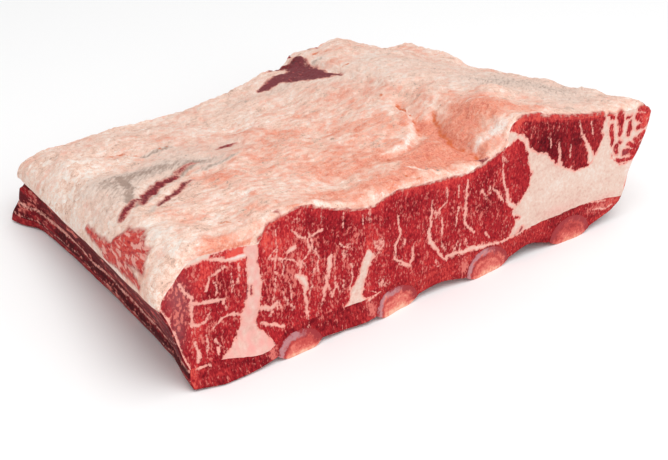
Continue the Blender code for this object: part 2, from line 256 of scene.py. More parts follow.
UNDERSIDE = (
    "foot_left", "rib_arc_1", "strip_1", "rib_arc_2", "strip_2", "rib_arc_3", "strip_3", "rib_arc_4",
)
WHOLE_OUTLINE = loop(*UNDERSIDE, "right_foot", "right_low", "right_high", "-top", "left_side", "left_foot")


def corner_key(point):
    """Names a point of the drawing, to find it again."""
    return round(float(point[0]), 4), round(float(point[1]), 4)


def outward_of_outline():
    """Which way is out at each point of the plate's outline, softly turned round its corners."""
    side = np.roll(WHOLE_OUTLINE, -1, axis=0) - np.roll(WHOLE_OUTLINE, 1, axis=0)
    out = np.column_stack([side[:, 1], -side[:, 0]])
    out /= np.linalg.norm(out, axis=1)[:, None]
    soft = sum(np.roll(out, k, axis=0) for k in range(-7, 8))
    soft /= np.linalg.norm(soft, axis=1)[:, None]
    return {corner_key(point): way for point, way in zip(WHOLE_OUTLINE, soft)}


OUTWARD = outward_of_outline()  # a layer's line with points in it is outer skin, any other is hidden
for number in range(1, len(RIBS) + 1):
    for point in LINES[f"rib_arc_{number}"][1:-1]:
        OUTWARD.pop(corner_key(point), None)

CREST = smooth_line(TOP, COARSE_STEP)
CREST = CREST[(CREST[:, 0] > -3) & (CREST[:, 1] > 55)]


def heights(x, along):
    """The crest on the near cut face, and the plate's height a share `along` of the way through."""
    crest = np.interp(x, CREST[:, 0], CREST[:, 1])
    far_crest = FAR_HEIGHT + FAR_HUMP * np.exp(-(((x - FAR_HUMP_X) / FAR_HUMP_WIDTH) ** 2))
    far_crest += FAR_LEFT_LIFT * (1 - ease(x, 0, 35))
    soft_crest = SOFT_HEIGHT + SOFT_RISE * np.exp(-(((x - FAR_HUMP_X) / SOFT_WIDTH) ** 2))
    near_crest = crest + (soft_crest - crest) * ease(along, 0, SOFT_BY)
    drop = along * (1.15 - 0.15 * along)
    return crest, near_crest + (far_crest - near_crest) * drop + CROWN * np.sin(np.pi * along)


def in_plate(outline, along):
    """Carries an outline from the near cut face to its place a share `along` of the way through."""
    x, height = outline[:, 0], outline[:, 1]
    crest, here = heights(x, along)
    gain = FAR_FAT_GAIN * along
    under = 1 - np.maximum(height - RIB_ZONE, 0) / (crest - RIB_ZONE)
    under = under * (1 + gain) / (1 + gain * under)
    z = np.where(height > RIB_ZONE, RIB_ZONE + (1 - under) * (here - RIB_ZONE), height)
    up_left = np.clip(height / LEFT_SIDE_TOP, 0, 1)
    y = along * DEPTH
    foot = (1 - up_left) * LEFT_FOOT_IN * ease(y, 0, 25)
    tail = (1 - up_left) ** 2 * LEFT_TAIL_OUT * ease(y, DEPTH - 22, DEPTH)
    left_shift = (foot - tail + up_left * LEFT_TOP_IN * along) * np.clip(1 - x / 30, 0, 1)
    right_shift = RIGHT_TAPER * along * (1.6 - 0.6 * along) * np.clip((x - 190) / 60, 0, 1)
    return np.column_stack([x + left_shift - right_shift + BOW * np.sin(np.pi * along), z])


def from_far(x, z):
    """Where a point of the far cut face lies on the drawing of the near one."""
    crest, here = heights(x, 1.0)
    under = 1 - (z - RIB_ZONE) / (here - RIB_ZONE)
    under = under / (1 + FAR_FAT_GAIN * (1 - under))
    return x, np.where(z > RIB_ZONE, RIB_ZONE + (1 - under) * (crest - RIB_ZONE), z)


def far_edge(x):
    """Plan of the far cut face."""
    swell = 5 * np.exp(-(((x - 176) / 34) ** 2))
    dent = 2.5 * np.exp(-(((x - 92) / 26) ** 2))
    return DEPTH + (swell - dent - 5 * ease(-x, -35, 5)) - 6 * ease(x, 215, 245)


def near_face(x, z):
    """The near cut leans out a little at its foot, and more through the rib layer."""
    foot = follow(x, FOOT_LEAN) * np.clip(1 - z / RIB_ZONE, 0, 1)
    return -CUT_LEAN * (1 - np.maximum(z, RIB_ZONE) / CUT_HEIGHT) - foot


def cut_relief(x, z):
    """How far the cut meat stands out of its flat cut: soft swells and the ends of the fibres."""
    at = np.column_stack([x, z])
    fibres = 0.13 * lumps(at, (2.6, 4.0, 1), 4)
    return 0.30 * lumps(at, 11, 3) + fibres + 0.07 * lumps(at, (1.1, 2.2, 1), 5)


FOLDS = (  # each a line in plan, its depth and its half width
    (((146, 4), (147, 28), (151, 50), (158, 72)), 2.0, 4.5),
    (((2, 50), (16, 66), (30, 75), (46, 84)), 1.8, 5.0),
    (((14, 52), (36, 64), (60, 76)), 1.2, 4.0),
    (((134, 152), (150, 146), (155, 168)), 2.2, 9.0),
    (((90, 150), (98, 136), (96, 118)), 1.5, 8.0),
    (((168, 26), (188, 38)), -2.0, 11.0),
    (((112, 20), (134, 24)), -1.6, 9.0),
    (((40, 160), (52, 138)), -1.6, 12.0),
    (((205, 60), (214, 100)), 1.4, 10.0),
    (((156, 45), (151.3, 33.5), (148.7, 25), (148.8, 17), (149.8, 8), (147, 0)), 2.1, 2.1),
    (((153.6, 69), (153, 58), (148.5, 47), (142, 36.5), (130.5, 28), (119, 29)), 1.7, 2.2),
    (((149.5, 58), (143.5, 48), (137, 39.5), (128, 33.5)), -1.4, 2.8),
    (((135, 50), (141, 66)), -1.6, 11.0),
    (((160, 14), (162, 28)), -1.8, 8.0),
    (((153, 9), (158, 6), (161, 3)), -1.1, 3.2),
    (((162, 35), (166, 36), (171, 34), (179, 29)), 0.7, 1.8),
    (((110.3, 16.2), (108.9, 9.4), (110.6, 4.3), (117.7, 0)), 0.7, 1.4),
    (((30, 133.6), (39.6, 127.6), (44.6, 116.8)), 0.7, 1.8),
    (((10, 165), (40, 170)), 1.8, 12.0),
    (((158, 176), (178, 174)), 4.0, 9.0),
    (((234, 162), (237, 136)), -3.0, 10.0),
    (((234, 112), (237, 45)), 2.6, 9.0),
)
CRACKED = (  # where the fat is cracked, as (x, y, reach in x, reach in y, amount)
    (133, 16, 26, 17, 1.0), (152, 34, 12, 20, 0.8), (60, 40, 40, 26, 0.4), (120, 90, 40, 40, 0.4),
)


def beside(x, y, start, stop):
    """The share of the way from start to stop at which each point lies, and its distance from there."""
    ux, uy = stop[0] - start[0], stop[1] - start[1]
    t = np.clip(((x - start[0]) * ux + (y - start[1]) * uy) / (ux * ux + uy * uy), 0, 1)
    return t, np.hypot(x - start[0] - t * ux, y - start[1] - t * uy)


def distance_to_line(x, y, line):
    """Distance from the points (x, y) to an open line of straight pieces."""
    return np.min([beside(x, y, start, stop)[1] for start, stop in zip(line, line[1:])], axis=0)


def cracks(x, y):
    """Near 1 along the fine cracks between the lobes of fat, most of them in the dip at the right."""
    plan = np.column_stack([x, y])
    valley = 1 - ease(np.abs(lumps(plan + 2.5 * drift(plan, 8, 31), (11, 8, 1), 33)), 0.0, 0.11)
    return valley * np.clip(pools(x, y, CRACKED), 0, 1)


def skin_relief(height, points):
    """How far the plate's outer skin stands out at points (n, 3), each at a height on the drawing."""
    x, y = points[:, 0], points[:, 1]
    large = np.array([1.8 * noise.noise(Vector((px, py, 0)) / 17) for px, py in zip(x, y)])
    for line, depth, width in FOLDS:
        large -= depth * np.exp(-((distance_to_line(x, y, line) / width) ** 2))
    grain = points @ np.array(((0.8, 0.6, 0), (-0.6, 0.8, 0), (0, 0, 1)))
    large_flakes = 0.5 - np.abs(lumps(grain, (4.5, 7, 6), 6))
    small_flakes = 0.5 - np.abs(lumps(grain, (2.0, 2.8, 3), 7))
    flakes = 1.1 * large_flakes + 0.8 * small_flakes + 0.5 * lumps(points, 2.6, 35)
    flakes = flakes * (0.75 + 0.5 * lumps(points, 24, 36)) - 0.7 * cracks(x, y)
    far_corner = np.exp(-(((height - 54.5) / 4.5) ** 2)) * ease(-x, -18, -7) * ease(y, 112, 156)
    top = ease(height, 44, 58)
    side = 0.5 * lumps(points, (9, 30, 5), 8) + 0.25 * lumps(points, (3, 12, 2.4), 9)
    foot = 0.35 * lumps(points, (5, 9, 5), 10)
    low = ease(height, 0.5, 8)
    from_cut = np.minimum(y, far_edge(x) - y)
    lower = (1 - top) * (low * side + (1 - low) * foot) * ease(from_cut, 0, 4)
    return 2.4 * far_corner + top * (large * ease(y, 0, 6) + flakes) + lower


def inside_points(outline, step, rng):
    """A loose honeycomb of points inside a closed outline, clear of its border."""
    low, high = outline.min(axis=0), outline.max(axis=0)
    grid = []
    for k, z in enumerate(np.arange(low[1], high[1], step * 0.866)):
        x = np.arange(low[0] + step / 2 * (k % 2), high[0], step)
        grid.append(np.column_stack([x, np.full(len(x), z)]))
    points = np.vstack(grid)
    points += rng.uniform(-0.2, 0.2, points.shape) * step
    following = np.roll(outline, -1, axis=0)
    keep = []
    for some in np.array_split(points, max(1, len(points) // 4000)):
        x, z = some[:, :1], some[:, 1:]
        spans = (outline[:, 1] > z) != (following[:, 1] > z)
        rise = np.where(following[:, 1] == outline[:, 1], 1, following[:, 1] - outline[:, 1])
        crossing = x < (following[:, 0] - outline[:, 0]) * (z - outline[:, 1]) / rise + outline[:, 0]
        within = np.sum(spans & crossing, axis=1) % 2 == 1
        clear = np.min(np.hypot(x - outline[:, 0], z - outline[:, 1]), axis=1) > 0.55 * step
        keep.append(some[within & clear])
    return np.vstack(keep)


def layer(name, outline, tissue, marks, row_step=0.95, proud=0.0, softness=None):
    """One layer as a mesh: its outer skin in close rows, its hidden skin in wide ones, and both cut faces.

    marks(place, height, points) gives the values that the finish reads at each point, for place "near",
    "far" or "skin"; height is the point's on the drawing. The near end stands out by proud.
    softness(x, z) is how far the near edge would slump, where the layer is thick enough for it.
    """
    rng = np.random.default_rng(3)
    count = len(outline)
    out = np.array([OUTWARD.get(corner_key(point), (0.0, 0.0)) for point in outline])
    outer = np.any(out != 0, axis=1)
    radius = np.full(count, EDGE_ROUND)
    if softness:
        room = distance_to_line(outline[:, 0], outline[:, 1], outline[~outer]) - 0.9
        radius = np.maximum(EDGE_ROUND, np.minimum(room, softness(outline[:, 0], outline[:, 1])))

    def near_end(x, z):
        """Where the cut meat lies in y on the near face."""
        return near_face(x, z) - proud - cut_relief(x, z)

    def row(along, columns):
        """The points of the columns' outline at one depth, and their heights on the drawing."""
        x, height = outline[columns].T
        section = in_plate(outline[columns], along)
        near = near_end(x, height)
        y = near + (far_edge(x) - near) * along
        points = np.column_stack([section[:, 0], y, section[:, 1]])
        from_end = min(along, 1 - along) * DEPTH
        bend = radius[columns] if along < 0.5 else np.full(len(x), EDGE_ROUND)
        reach = np.where(bend > EDGE_ROUND, bend * SLUMP_REACH, bend)
        inset = bend * (1 - np.sqrt(1 - np.clip(1 - from_end / reach, 0, 1) ** 2))
        rise = skin_relief(height, points) - inset
        upright = ease(along, 0.02, 0.2) * ease(x, 135, 150) * (1 - ease(x, 215, 235))
        upright = upright * (height > STEEP_SIDE)
        way = out[columns] + upright[:, None] * (UP - out[columns])
        points[:, [0, 2]] += way * (rise * outer[columns])[:, None]
        return points, height

    groups, faces, total = [], [], 0

    def add(place, points, height, corners):
        nonlocal total
        groups.append((place, points, height))
        faces.append(np.asarray(corners) + total)
        total += len(points)

    for place, along, step in (("near", 0.0, NEAR_GRAIN), ("far", 1.0, FAR_GRAIN)):
        ring, height = row(along, np.arange(count))
        flat = ring[:, [0, 2]]
        spread = [Vector(p) for p in np.vstack([flat, inside_points(flat, step, rng)])]
        made = delaunay_2d_cdt(spread, [], [list(range(count))], 1, 1e-6)
        flat = np.array([tuple(p) for p in made[0]])
        source = [origin[0] if origin else -1 for origin in made[3]]
        if place == "near":
            drawn_x, drawn_z = flat.T
            y = near_end(drawn_x, drawn_z)
        else:
            drawn_x, drawn_z = from_far(*flat.T)
            y = far_edge(drawn_x) + cut_relief(*flat.T)
        points = np.column_stack([flat[:, 0], y, flat[:, 1]])
        for at, origin in enumerate(source):
            if 0 <= origin < count:
                points[at] = ring[origin]
                drawn_z[at] = height[origin]
        triangles = np.array([face if place == "near" else face[::-1] for face in made[2]])
        add(place, points, drawn_z, triangles)

    # the skin, in runs of columns that are all outer or all hidden
    turn = int(np.argmin(outer)) if outer.any() else 0
    order = (np.arange(count + 1) + turn) % count
    start = 0
    while start < count:
        kind = bool(outer[order[start]] and outer[order[start + 1]])
        stop = start + 1
        while stop < count and bool(outer[order[stop]] and outer[order[stop + 1]]) == kind:
            stop += 1
        columns = order[start:stop + 1]
        if kind:
            ends = np.array((0, 0.1, 0.35, 0.7)) * EDGE_ROUND
            body = np.linspace(EDGE_ROUND, DEPTH - EDGE_ROUND, round(DEPTH / row_step))
            alongs = np.concatenate([ends, body, DEPTH - ends[::-1]]) / DEPTH
        else:
            alongs = np.linspace(0, 1, INNER_ROWS)
        rows = [row(along, columns) for along in alongs]
        points = np.vstack([line for line, _ in rows])
        height = np.concatenate([heights_there for _, heights_there in rows])
        across = len(columns)
        a = (np.arange(len(alongs) - 1)[:, None] * across + np.arange(across - 1)).ravel()
        quads = np.column_stack([a, a + 1, a + 1 + across, a + across])
        add("skin", points, height, quads)
        start = stop

    # points in the same place are joined, and faces that this leaves with too few corners are dropped
    points = np.vstack([group[1] for group in groups])
    values = {}
    for place, some, height in groups:
        for key, value in marks(place, height, some).items():
            values.setdefault(key, []).append(value + 0 * height)
    keys = np.round(points * 1e4).astype(np.int64)
    _, first, same = np.unique(keys, axis=0, return_index=True, return_inverse=True)
    same = same.ravel()
    corners = []
    for block in faces:
        block = same[block]
        whole = np.ones(len(block), bool)
        for k in range(block.shape[1]):
            whole &= block[:, k] != block[:, k - 1]
        corners += block[whole].tolist()

    mesh = bpy.data.meshes.new(name)
    mesh.from_pydata(((points[first] - ORIGIN) * MM).tolist(), [], corners)
    mesh.validate()
    for key, value in values.items():
        mesh.attributes.new(key, "FLOAT", "POINT").data.foreach_set("value", np.concatenate(value)[first])
    mesh.shade_smooth()
    mesh.set_sharp_from_angle(angle=np.radians(55))
    mesh.materials.append(tissue)
    piece = bpy.data.objects.new(name, mesh)
    bpy.context.scene.collection.objects.link(piece)
    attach(piece, "root")
    return piece


def depth_in(x, z, streaks):
    """How deep the points (x, z) lie inside streaks, each a line of (x, z, width); below 0 outside."""
    deepest = np.full(len(x), NONE)
    for streak in streaks:
        for start, stop in zip(streak, streak[1:]):
            t, away = beside(x, z, start, stop)
            deepest = np.maximum(deepest, (start[2] + (stop[2] - start[2]) * t) / 2 - away)
    return deepest


def pools(x, z, spots):
    """A soft sum of spots, each (x, z, reach in x, reach in z, amount)."""
    total = np.zeros(len(x))
    for sx, sz, rx, rz, amount in spots:
        total += amount * np.exp(-(((x - sx) / rx) ** 2) - ((z - sz) / rz) ** 2)
    return total


def shader_step(tree, kind, values=(), **settings):
    """One shader node with its settings; a value that is a socket is linked, any other is set."""
    made = tree.nodes.new("ShaderNode" + kind)
    for key, value in settings.items():
        setattr(made, key, value)
    for key, value in dict(values).items():
        if isinstance(value, bpy.types.NodeSocket):
            tree.links.new(value, made.inputs[key])
        else:
            made.inputs[key].default_value = value
    return made


def attributes(tree, *names):
    """The values that the points carry under these names."""
    return [shader_step(tree, "Attribute", attribute_name=name).outputs["Fac"] for name in names]


def scaled(tree, place, scale):
    """A place in space, scaled per axis; 1000 gives millimetres."""
    return shader_step(tree, "Mapping", {"Vector": place, "Scale": scale}).outputs[0]


def grain_noise(tree, place, scale, detail=2.0, rough=0.55):
    """Smooth noise, about 0.5."""
    values = {"Vector": place, "Scale": scale, "Detail": detail, "Roughness": rough}
    return shader_step(tree, "TexNoise", values).outputs["Fac"]


def sum_of(tree, base, *parts):
    """base plus each part, a value times a weight; all of them sockets or numbers."""
    for value, weight in parts:
        step = shader_step(tree, "Math", {0: value, 1: weight, 2: base}, operation="MULTIPLY_ADD")
        base = step.outputs[0]
    return base


def product(tree, value, other):
    """One value times another."""
    return sum_of(tree, 0.0, (value, other))


def soft_step(tree, value, low, high):
    """0 below low, 1 above high, and a smooth S between."""
    values = {"Value": value, "From Min": low, "From Max": high}
    return shader_step(tree, "MapRange", values, interpolation_type="SMOOTHSTEP").outputs["Result"]


def blend_colours(tree, share, first, second):
    """The first colour, or the second where share is 1; each a socket or (red, green, blue)."""
    first, second = [(*colour, 1) if isinstance(colour, tuple) else colour for colour in (first, second)]
    values = {"Fac": share, "Color1": first, "Color2": second}
    return shader_step(tree, "MixRGB", values).outputs["Color"]


def ramp_of(tree, value, stops):
    """A run of colours over value, from stops of (place, colour)."""
    ramp = shader_step(tree, "ValToRGB", {"Fac": value})
    ramp.color_ramp.interpolation = "EASE"
    for place, colour in stops[1:-1]:
        ramp.color_ramp.elements.new(place).color = (*colour, 1)
    for end in (0, -1):
        ramp.color_ramp.elements[end].position = stops[end][0]
        ramp.color_ramp.elements[end].color = (*stops[end][1], 1)
    return ramp.outputs["Color"]


def new_finish(name):
    """A material, its tree and its surface shader."""
    finish = bpy.data.materials.new(name)
    finish.use_nodes = True
    return finish, finish.node_tree, finish.node_tree.nodes["Principled BSDF"]


LEAN_SHADES = (
    (0.0, (0.110, 0.004, 0.008)), (0.3, (0.235, 0.009, 0.015)), (0.55, (0.390, 0.020, 0.026)),
    (0.8, (0.580, 0.048, 0.046)), (1.0, (0.720, 0.090, 0.070)),
)
DARK_LEAN_SHADES = (
    (0.0, (0.070, 0.003, 0.006)), (0.3, (0.165, 0.007, 0.012)), (0.55, (0.300, 0.016, 0.021)),
    (0.8, (0.480, 0.038, 0.038)), (1.0, (0.640, 0.080, 0.062)),
)
OLD_LEAN = (0.29, 0.080, 0.090)  # where the air has turned it greyish purple
THIN_FAT = (0.80, 0.36, 0.30)  # pink with the lean round it
THIN_SKIN_FAT = (0.64, 0.30, 0.245)  # brownish, round the lean that shows on the skin
DULL_FAT = (0.40, 0.285, 0.235)
FAT_SHADES = (
    (0.0, (0.34, 0.235, 0.200)), (0.25, (0.72, 0.47, 0.37)), (0.5, (0.87, 0.58, 0.465)),
    (0.75, (0.91, 0.73, 0.63)), (1.0, (0.94, 0.87, 0.80)),
)
# fat on the cut faces: the seam fat's cooler colour, also darkened as painted shade against the strong
# light there
SEAM_SHADES = (
    (0.0, (0.42, 0.27, 0.235)), (0.3, (0.67, 0.43, 0.36)), (0.55, (0.74, 0.54, 0.455)),
    (0.8, (0.775, 0.64, 0.565)), (1.0, (0.80, 0.74, 0.70)),
)
MARBLING = (0.64, 0.165, 0.138)
SALMON_SHADES = (
    (0.0, (0.62, 0.17, 0.12)), (0.35, (0.78, 0.28, 0.185)), (0.6, (0.84, 0.40, 0.29)),
    (1.0, (0.93, 0.66, 0.54)),
)
PINK_FAT = (0.80, 0.38, 0.34)
BEIGE_FAT = (0.72, 0.575, 0.495)
BLUSH = (0.76, 0.26, 0.20)
RUST = (0.64, 0.155, 0.06)


def flesh(name, lean_shades, skin=False):
    """Raw meat and its fat. Each point carries how deep it lies in fat, and the tone, stain and flecks.

    The outer skin, with skin=True, also carries how dull its fat is and how much fat strands its lean.
    """
    finish, tree, shader = new_finish(name)
    in_fat, flecks, toned, stain = attributes(tree, "fat", "fleck", "tone", "stain")
    at = shader_step(tree, "TexCoord").outputs["Object"]
    in_mm = scaled(tree, at, (1000, 1000, 1000))
    grain = scaled(tree, at, (1000, 280, 520))
    fibre = grain_noise(tree, grain, 1.25, 2.5, 0.62)
    speck = grain_noise(tree, grain, 1.2, 2.0, 0.55)
    bloom = grain_noise(tree, grain, 0.36, 2.0, 0.6)
    cloud = grain_noise(tree, in_mm, 0.16, 2.0, 0.5)
    ragged = grain_noise(tree, in_mm, 0.85, 3.0, 0.62)
    crumb = grain_noise(tree, in_mm, 0.55, 4.0, 0.68)

    # the lean, its old patches and its flecks
    lean = ramp_of(tree, sum_of(tree, -0.44, (fibre, 1.35), (cloud, 0.50), (toned, 0.34)), lean_shades)
    lean = blend_colours(tree, stain, lean, OLD_LEAN)
    fleck_edge = sum_of(tree, 0.0, (speck, 0.8), (bloom, 0.35), (flecks, 0.15))
    lean = blend_colours(tree, soft_step(tree, fleck_edge, 0.665, 0.83), lean, MARBLING)

    fat_shade = sum_of(tree, -0.20, (crumb, 0.95), (cloud, 0.45), (toned, 0.36))
    height = sum_of(tree, 0.0, (fibre, 0.05 if skin else 0.35), (crumb, 0.7), (ragged, 0.25))
    if skin:
        # flaky cover fat: crumbs and flakes, salmon where stained, beige and brushed grey where dull
        dull, stranded = attributes(tree, "dull", "strand")
        wobble = shader_step(tree, "TexNoise", {"Vector": in_mm, "Scale": 0.4, "Detail": 3.0})
        bend = {0: wobble.outputs["Color"], 1: (3.4, 3.4, 3.4), 2: in_mm}
        bent = shader_step(tree, "VectorMath", bend, operation="MULTIPLY_ADD").outputs[0]
        flake = shader_step(tree, "TexVoronoi", {"Vector": bent, "Scale": 0.27, "Detail": 1.5})
        flake_shade = flake.outputs["Color"]
        fine = grain_noise(tree, in_mm, 1.5, 2.0, 0.6)
        fat_shade = sum_of(tree, -1.15, (fat_shade, 1.0), (crumb, 0.3), (flake_shade, 0.65), (fine, 1.2))
        fat = ramp_of(tree, fat_shade, FAT_SHADES)

        lace = sum_of(tree, -0.5, (grain_noise(tree, in_mm, 0.30, 3.0, 0.6), 1.0))
        lace = shader_step(tree, "Math", {0: lace}, operation="ABSOLUTE").outputs[0]
        laced = soft_step(tree, sum_of(tree, 0.02, (lace, -1.0), (stain, 0.012)), 0.0, 0.02)
        patchy = sum_of(tree, -1.65, (ragged, 1.2), (cloud, 0.5), (fine, 1.0), (stain, 1.0))
        patchy = sum_of(tree, patchy, (laced, 0.22), (flake_shade, 0.6))
        salmon = sum_of(tree, -1.12, (fine, 1.5), (ragged, 1.5), (cloud, 0.45), (stain, -0.28))
        salmon = ramp_of(tree, salmon, SALMON_SHADES)
        fat = blend_colours(tree, soft_step(tree, patchy, 0.0, 0.9), fat, salmon)

        fat = blend_colours(tree, product(tree, dull, 0.9), fat, BEIGE_FAT)
        dots = sum_of(tree, 0.0, (fine, 0.75), (bloom, 0.3), (stain, 0.08))
        fat = blend_colours(tree, product(tree, soft_step(tree, dots, 0.62, 0.75), 0.82), fat, BLUSH)
        turned = {"Vector": at, "Rotation": (0, 0, 0.71), "Scale": (0.0045, 0.001, 0.001)}
        brushed = shader_step(tree, "Mapping", turned, vector_type="TEXTURE").outputs[0]
        stria = grain_noise(tree, brushed, 0.75, 3.0, 0.62)
        dulled = soft_step(tree, sum_of(tree, -1.72, (stria, 2.4), (dull, 0.86)), 0.0, 0.95)
        fat = blend_colours(tree, dulled, fat, DULL_FAT)

        strands = grain_noise(tree, scaled(tree, at, (420, 110, 620)), 1.1, 2.0, 0.55)
        pale = product(tree, soft_step(tree, strands, 0.49, 0.60), stranded)
        lean = blend_colours(tree, pale, lean, THIN_FAT)
        rusty = sum_of(tree, -1.3, (ragged, 0.9), (flecks, 1.0), (fine, 1.6))
        fat = blend_colours(tree, soft_step(tree, rusty, 0.1, 1.15), fat, RUST)
        fat = blend_colours(tree, soft_step(tree, in_fat, 0.1, 1.5), THIN_SKIN_FAT, fat)
    else:
        # smooth seam fat, pink where stained; its darker shades are partly painted shade for the brightly
        # lit cut faces
        fat = ramp_of(tree, sum_of(tree, -0.30, (fat_shade, 1.0), (ragged, 0.6)), SEAM_SHADES)
        fat = blend_colours(tree, stain, fat, PINK_FAT)
        fat = blend_colours(tree, soft_step(tree, in_fat, 0.1, 1.5), THIN_FAT, fat)

    # lean and fat meet in a ragged edge
    rough = sum_of(tree, -1.0, (ragged, 1.2), (speck, 0.8))
    fat_edge = sum_of(tree, in_fat, (rough, 2.2 if skin else 1.7))
    fatty = soft_step(tree, fat_edge, -0.7 if skin else -0.4, 0.7 if skin else 0.35)
    tree.links.new(blend_colours(tree, fatty, lean, fat), shader.inputs["Base Color"])
    gloss = sum_of(tree, 0.34, (fibre, 0.16), (fatty, 0.12))
    tree.links.new(gloss, shader.inputs["Roughness"])
    shader.inputs["Specular IOR Level"].default_value = 0.04 if skin else 0.02
    height = sum_of(tree, height, (fatty, 0.25))
    if skin:
        height = sum_of(tree, height, (flake.outputs["Distance"], -0.5))
    strength = 0.9 if skin else 0.5
    bump = shader_step(tree, "Bump", {"Height": height, "Strength": strength, "Distance": 0.0008})
    tree.links.new(bump.outputs["Normal"], shader.inputs["Normal"])
    return finish


DARK_LEAN = flesh("dark_lean", DARK_LEAN_SHADES)
LEFT_SEAM, LOWER_SEAM, UPPER_SEAM = 9.6, 5.2, 22  # heights of the pale seams along the left side


def side_marks(height, points):
    """The trimmed left and right sides: dark dried lean with pale seams; the low tone is partly painted
    shade.
    """
    sway = 0.9 * lumps(points, (40, 16, 40), 12)
    seam = 0.6 + 0.4 * lumps(points, (5, 12, 3), 63) - np.abs(height - LEFT_SEAM - sway)
    lower = 0.2 - np.abs(height - LOWER_SEAM - 2 * sway)
    upper = 0.25 - np.abs(height - UPPER_SEAM - 5 * sway)
    upper -= 0.5 * ease(lumps(points, (9, 14, 9), 64), -0.2, 0.4)
    fat = np.maximum(seam, np.maximum(lower, upper))
    bands = 0.9 * lumps(points, (12, 40, 2.8), 13) + 0.5 * lumps(points, (8, 14, 5), 14)
    strands = lumps(points, (3.5, 20, 1.8), 66)
    # low base tone: the dried lean's own dark colour, deepened by painted shade where the lights hardly
    # reach
    tone = -1.15 + 1.4 * bands + 1.1 * strands + (1 - ease(height, 1, 5))
    fleck = 0.9 * ease(lumps(points, (6, 12, 5), 65), -0.15, 0.45) + 0.3 * strands
    return {"fat": fat - 0.1, "fleck": fleck, "tone": tone, "stain": 0.06}


RIB_MEAT_STREAKS = (  # fat in the meat, each streak a line of (x, z, width)
    ((2, 9, 0.8), (8, 9.8, 0.5)),
    ((200, 18, 0.5), (214, 15.5, 1.0), (226, 13.2, 0.6)),
    ((218, 10.5, 0.5), (226, 9, 0.9), (231, 9.4, 0.5)),
    ((55, 10, 0.6), (54, 7, 0.4)),
    ((84, 10.6, 1.0), (92, 11.5, 0.6)),
    ((136, 15.3, 2.0), (141, 15.2, 2.2), (148, 14.6, 2.0), (154.3, 13.6, 1.7), (163, 12.8, 1.3),
     (168, 13.5, 1.3), (174.6, 14.1, 1.6), (178, 14.8, 1.6)),
)
BY_THE_RIBS = (  # redder meat, as (x, z, reach in x, reach in z, amount)
    (36, 4.5, 2.4, 3.5, 1), (86, 6.5, 2.4, 3.5, 1), (137.5, 8.5, 2.4, 3.5, 1), (222, 11, 9, 2, 0.8),
)


def rib_meat_marks(place, height, points):
    """Dark meat, redder near the ribs."""
    x, z = points[:, 0], points[:, 2]
    if place == "skin":
        marks = side_marks(height, points)
        under = height < 4.5
        marks["tone"] = np.where(under, 0.1, marks["tone"])
        marks["fat"] = np.where(under, -2.0, marks["fat"])
        return marks
    tone = 0.45 * lumps(np.column_stack([x, z]), (9, 3, 1), 14) + 0.8 * ease(x, 205, 232)
    tone += 0.5 * (ease(x, 60, 120) - ease(x, 170, 200))
    tone += 1.2 * ease(-x, -5, 0)
    by_ribs = pools(x, z, BY_THE_RIBS)
    fat = depth_in(x, z + 0.8 * lumps(points, 5, 66), RIB_MEAT_STREAKS) + 0.5 * lumps(points, 1.8, 67)
    tone += 0.5 * by_ribs
    return {"fat": fat, "fleck": 0.2 + 1.6 * by_ribs, "tone": tone, "stain": 0.3 * by_ribs}


rib_meat_outline = loop(
    *UNDERSIDE, "right_foot", "-rib_layer_end", "-rib_layer_main_right", "-rib_layer_tongue",
    "-rib_layer_main_left", "-rib_layer_seam", "-rib_layer_corner", "left_foot",
)
rib_meat = layer("meat_between_ribs", rib_meat_outline, DARK_LEAN, rib_meat_marks, row_step=1.2)
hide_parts("intercostal_meat")


# ---- The four ribs ---------------------------------------------------------------------------------
# Flat oval rib bones, sawn through at both ends: a grey-lilac skin and rim of dense bone round a red,
# spongy middle. They lie in the notches of the meat, a little proud of its cut face.
RIB_PROUD = 0.25
RIB_FLOOR = 0.15  # height of the ribs' flat undersides
RIM = 2.5  # thickness of the dense rim
CLEAN_RIMS = (1.0, 0.95, 0.95, 0.1)  # how clean of meat each rib's rim is, from the left
SPONGE_TONES = (-0.25, 0.1, -0.25, -0.5)
RIM_SHADES = ((0.0, (0.300, 0.060, 0.080)), (0.5, (0.450, 0.195, 0.210)), (1.0, (0.610, 0.360, 0.370)))
SPONGE_SHADES = (
    (0.0, (0.330, 0.025, 0.028)), (0.35, (0.520, 0.070, 0.060)), (0.6, (0.680, 0.160, 0.125)),
    (0.85, (0.780, 0.310, 0.220)), (1.0, (0.840, 0.470, 0.340)),
)
SMEARED_MEAT = (0.33, 0.032, 0.037)
RIB_SKIN_SHADES = ((0.0, (0.45, 0.16, 0.14)), (0.5, (0.70, 0.42, 0.38)), (1.0, (0.82, 0.66, 0.60)))


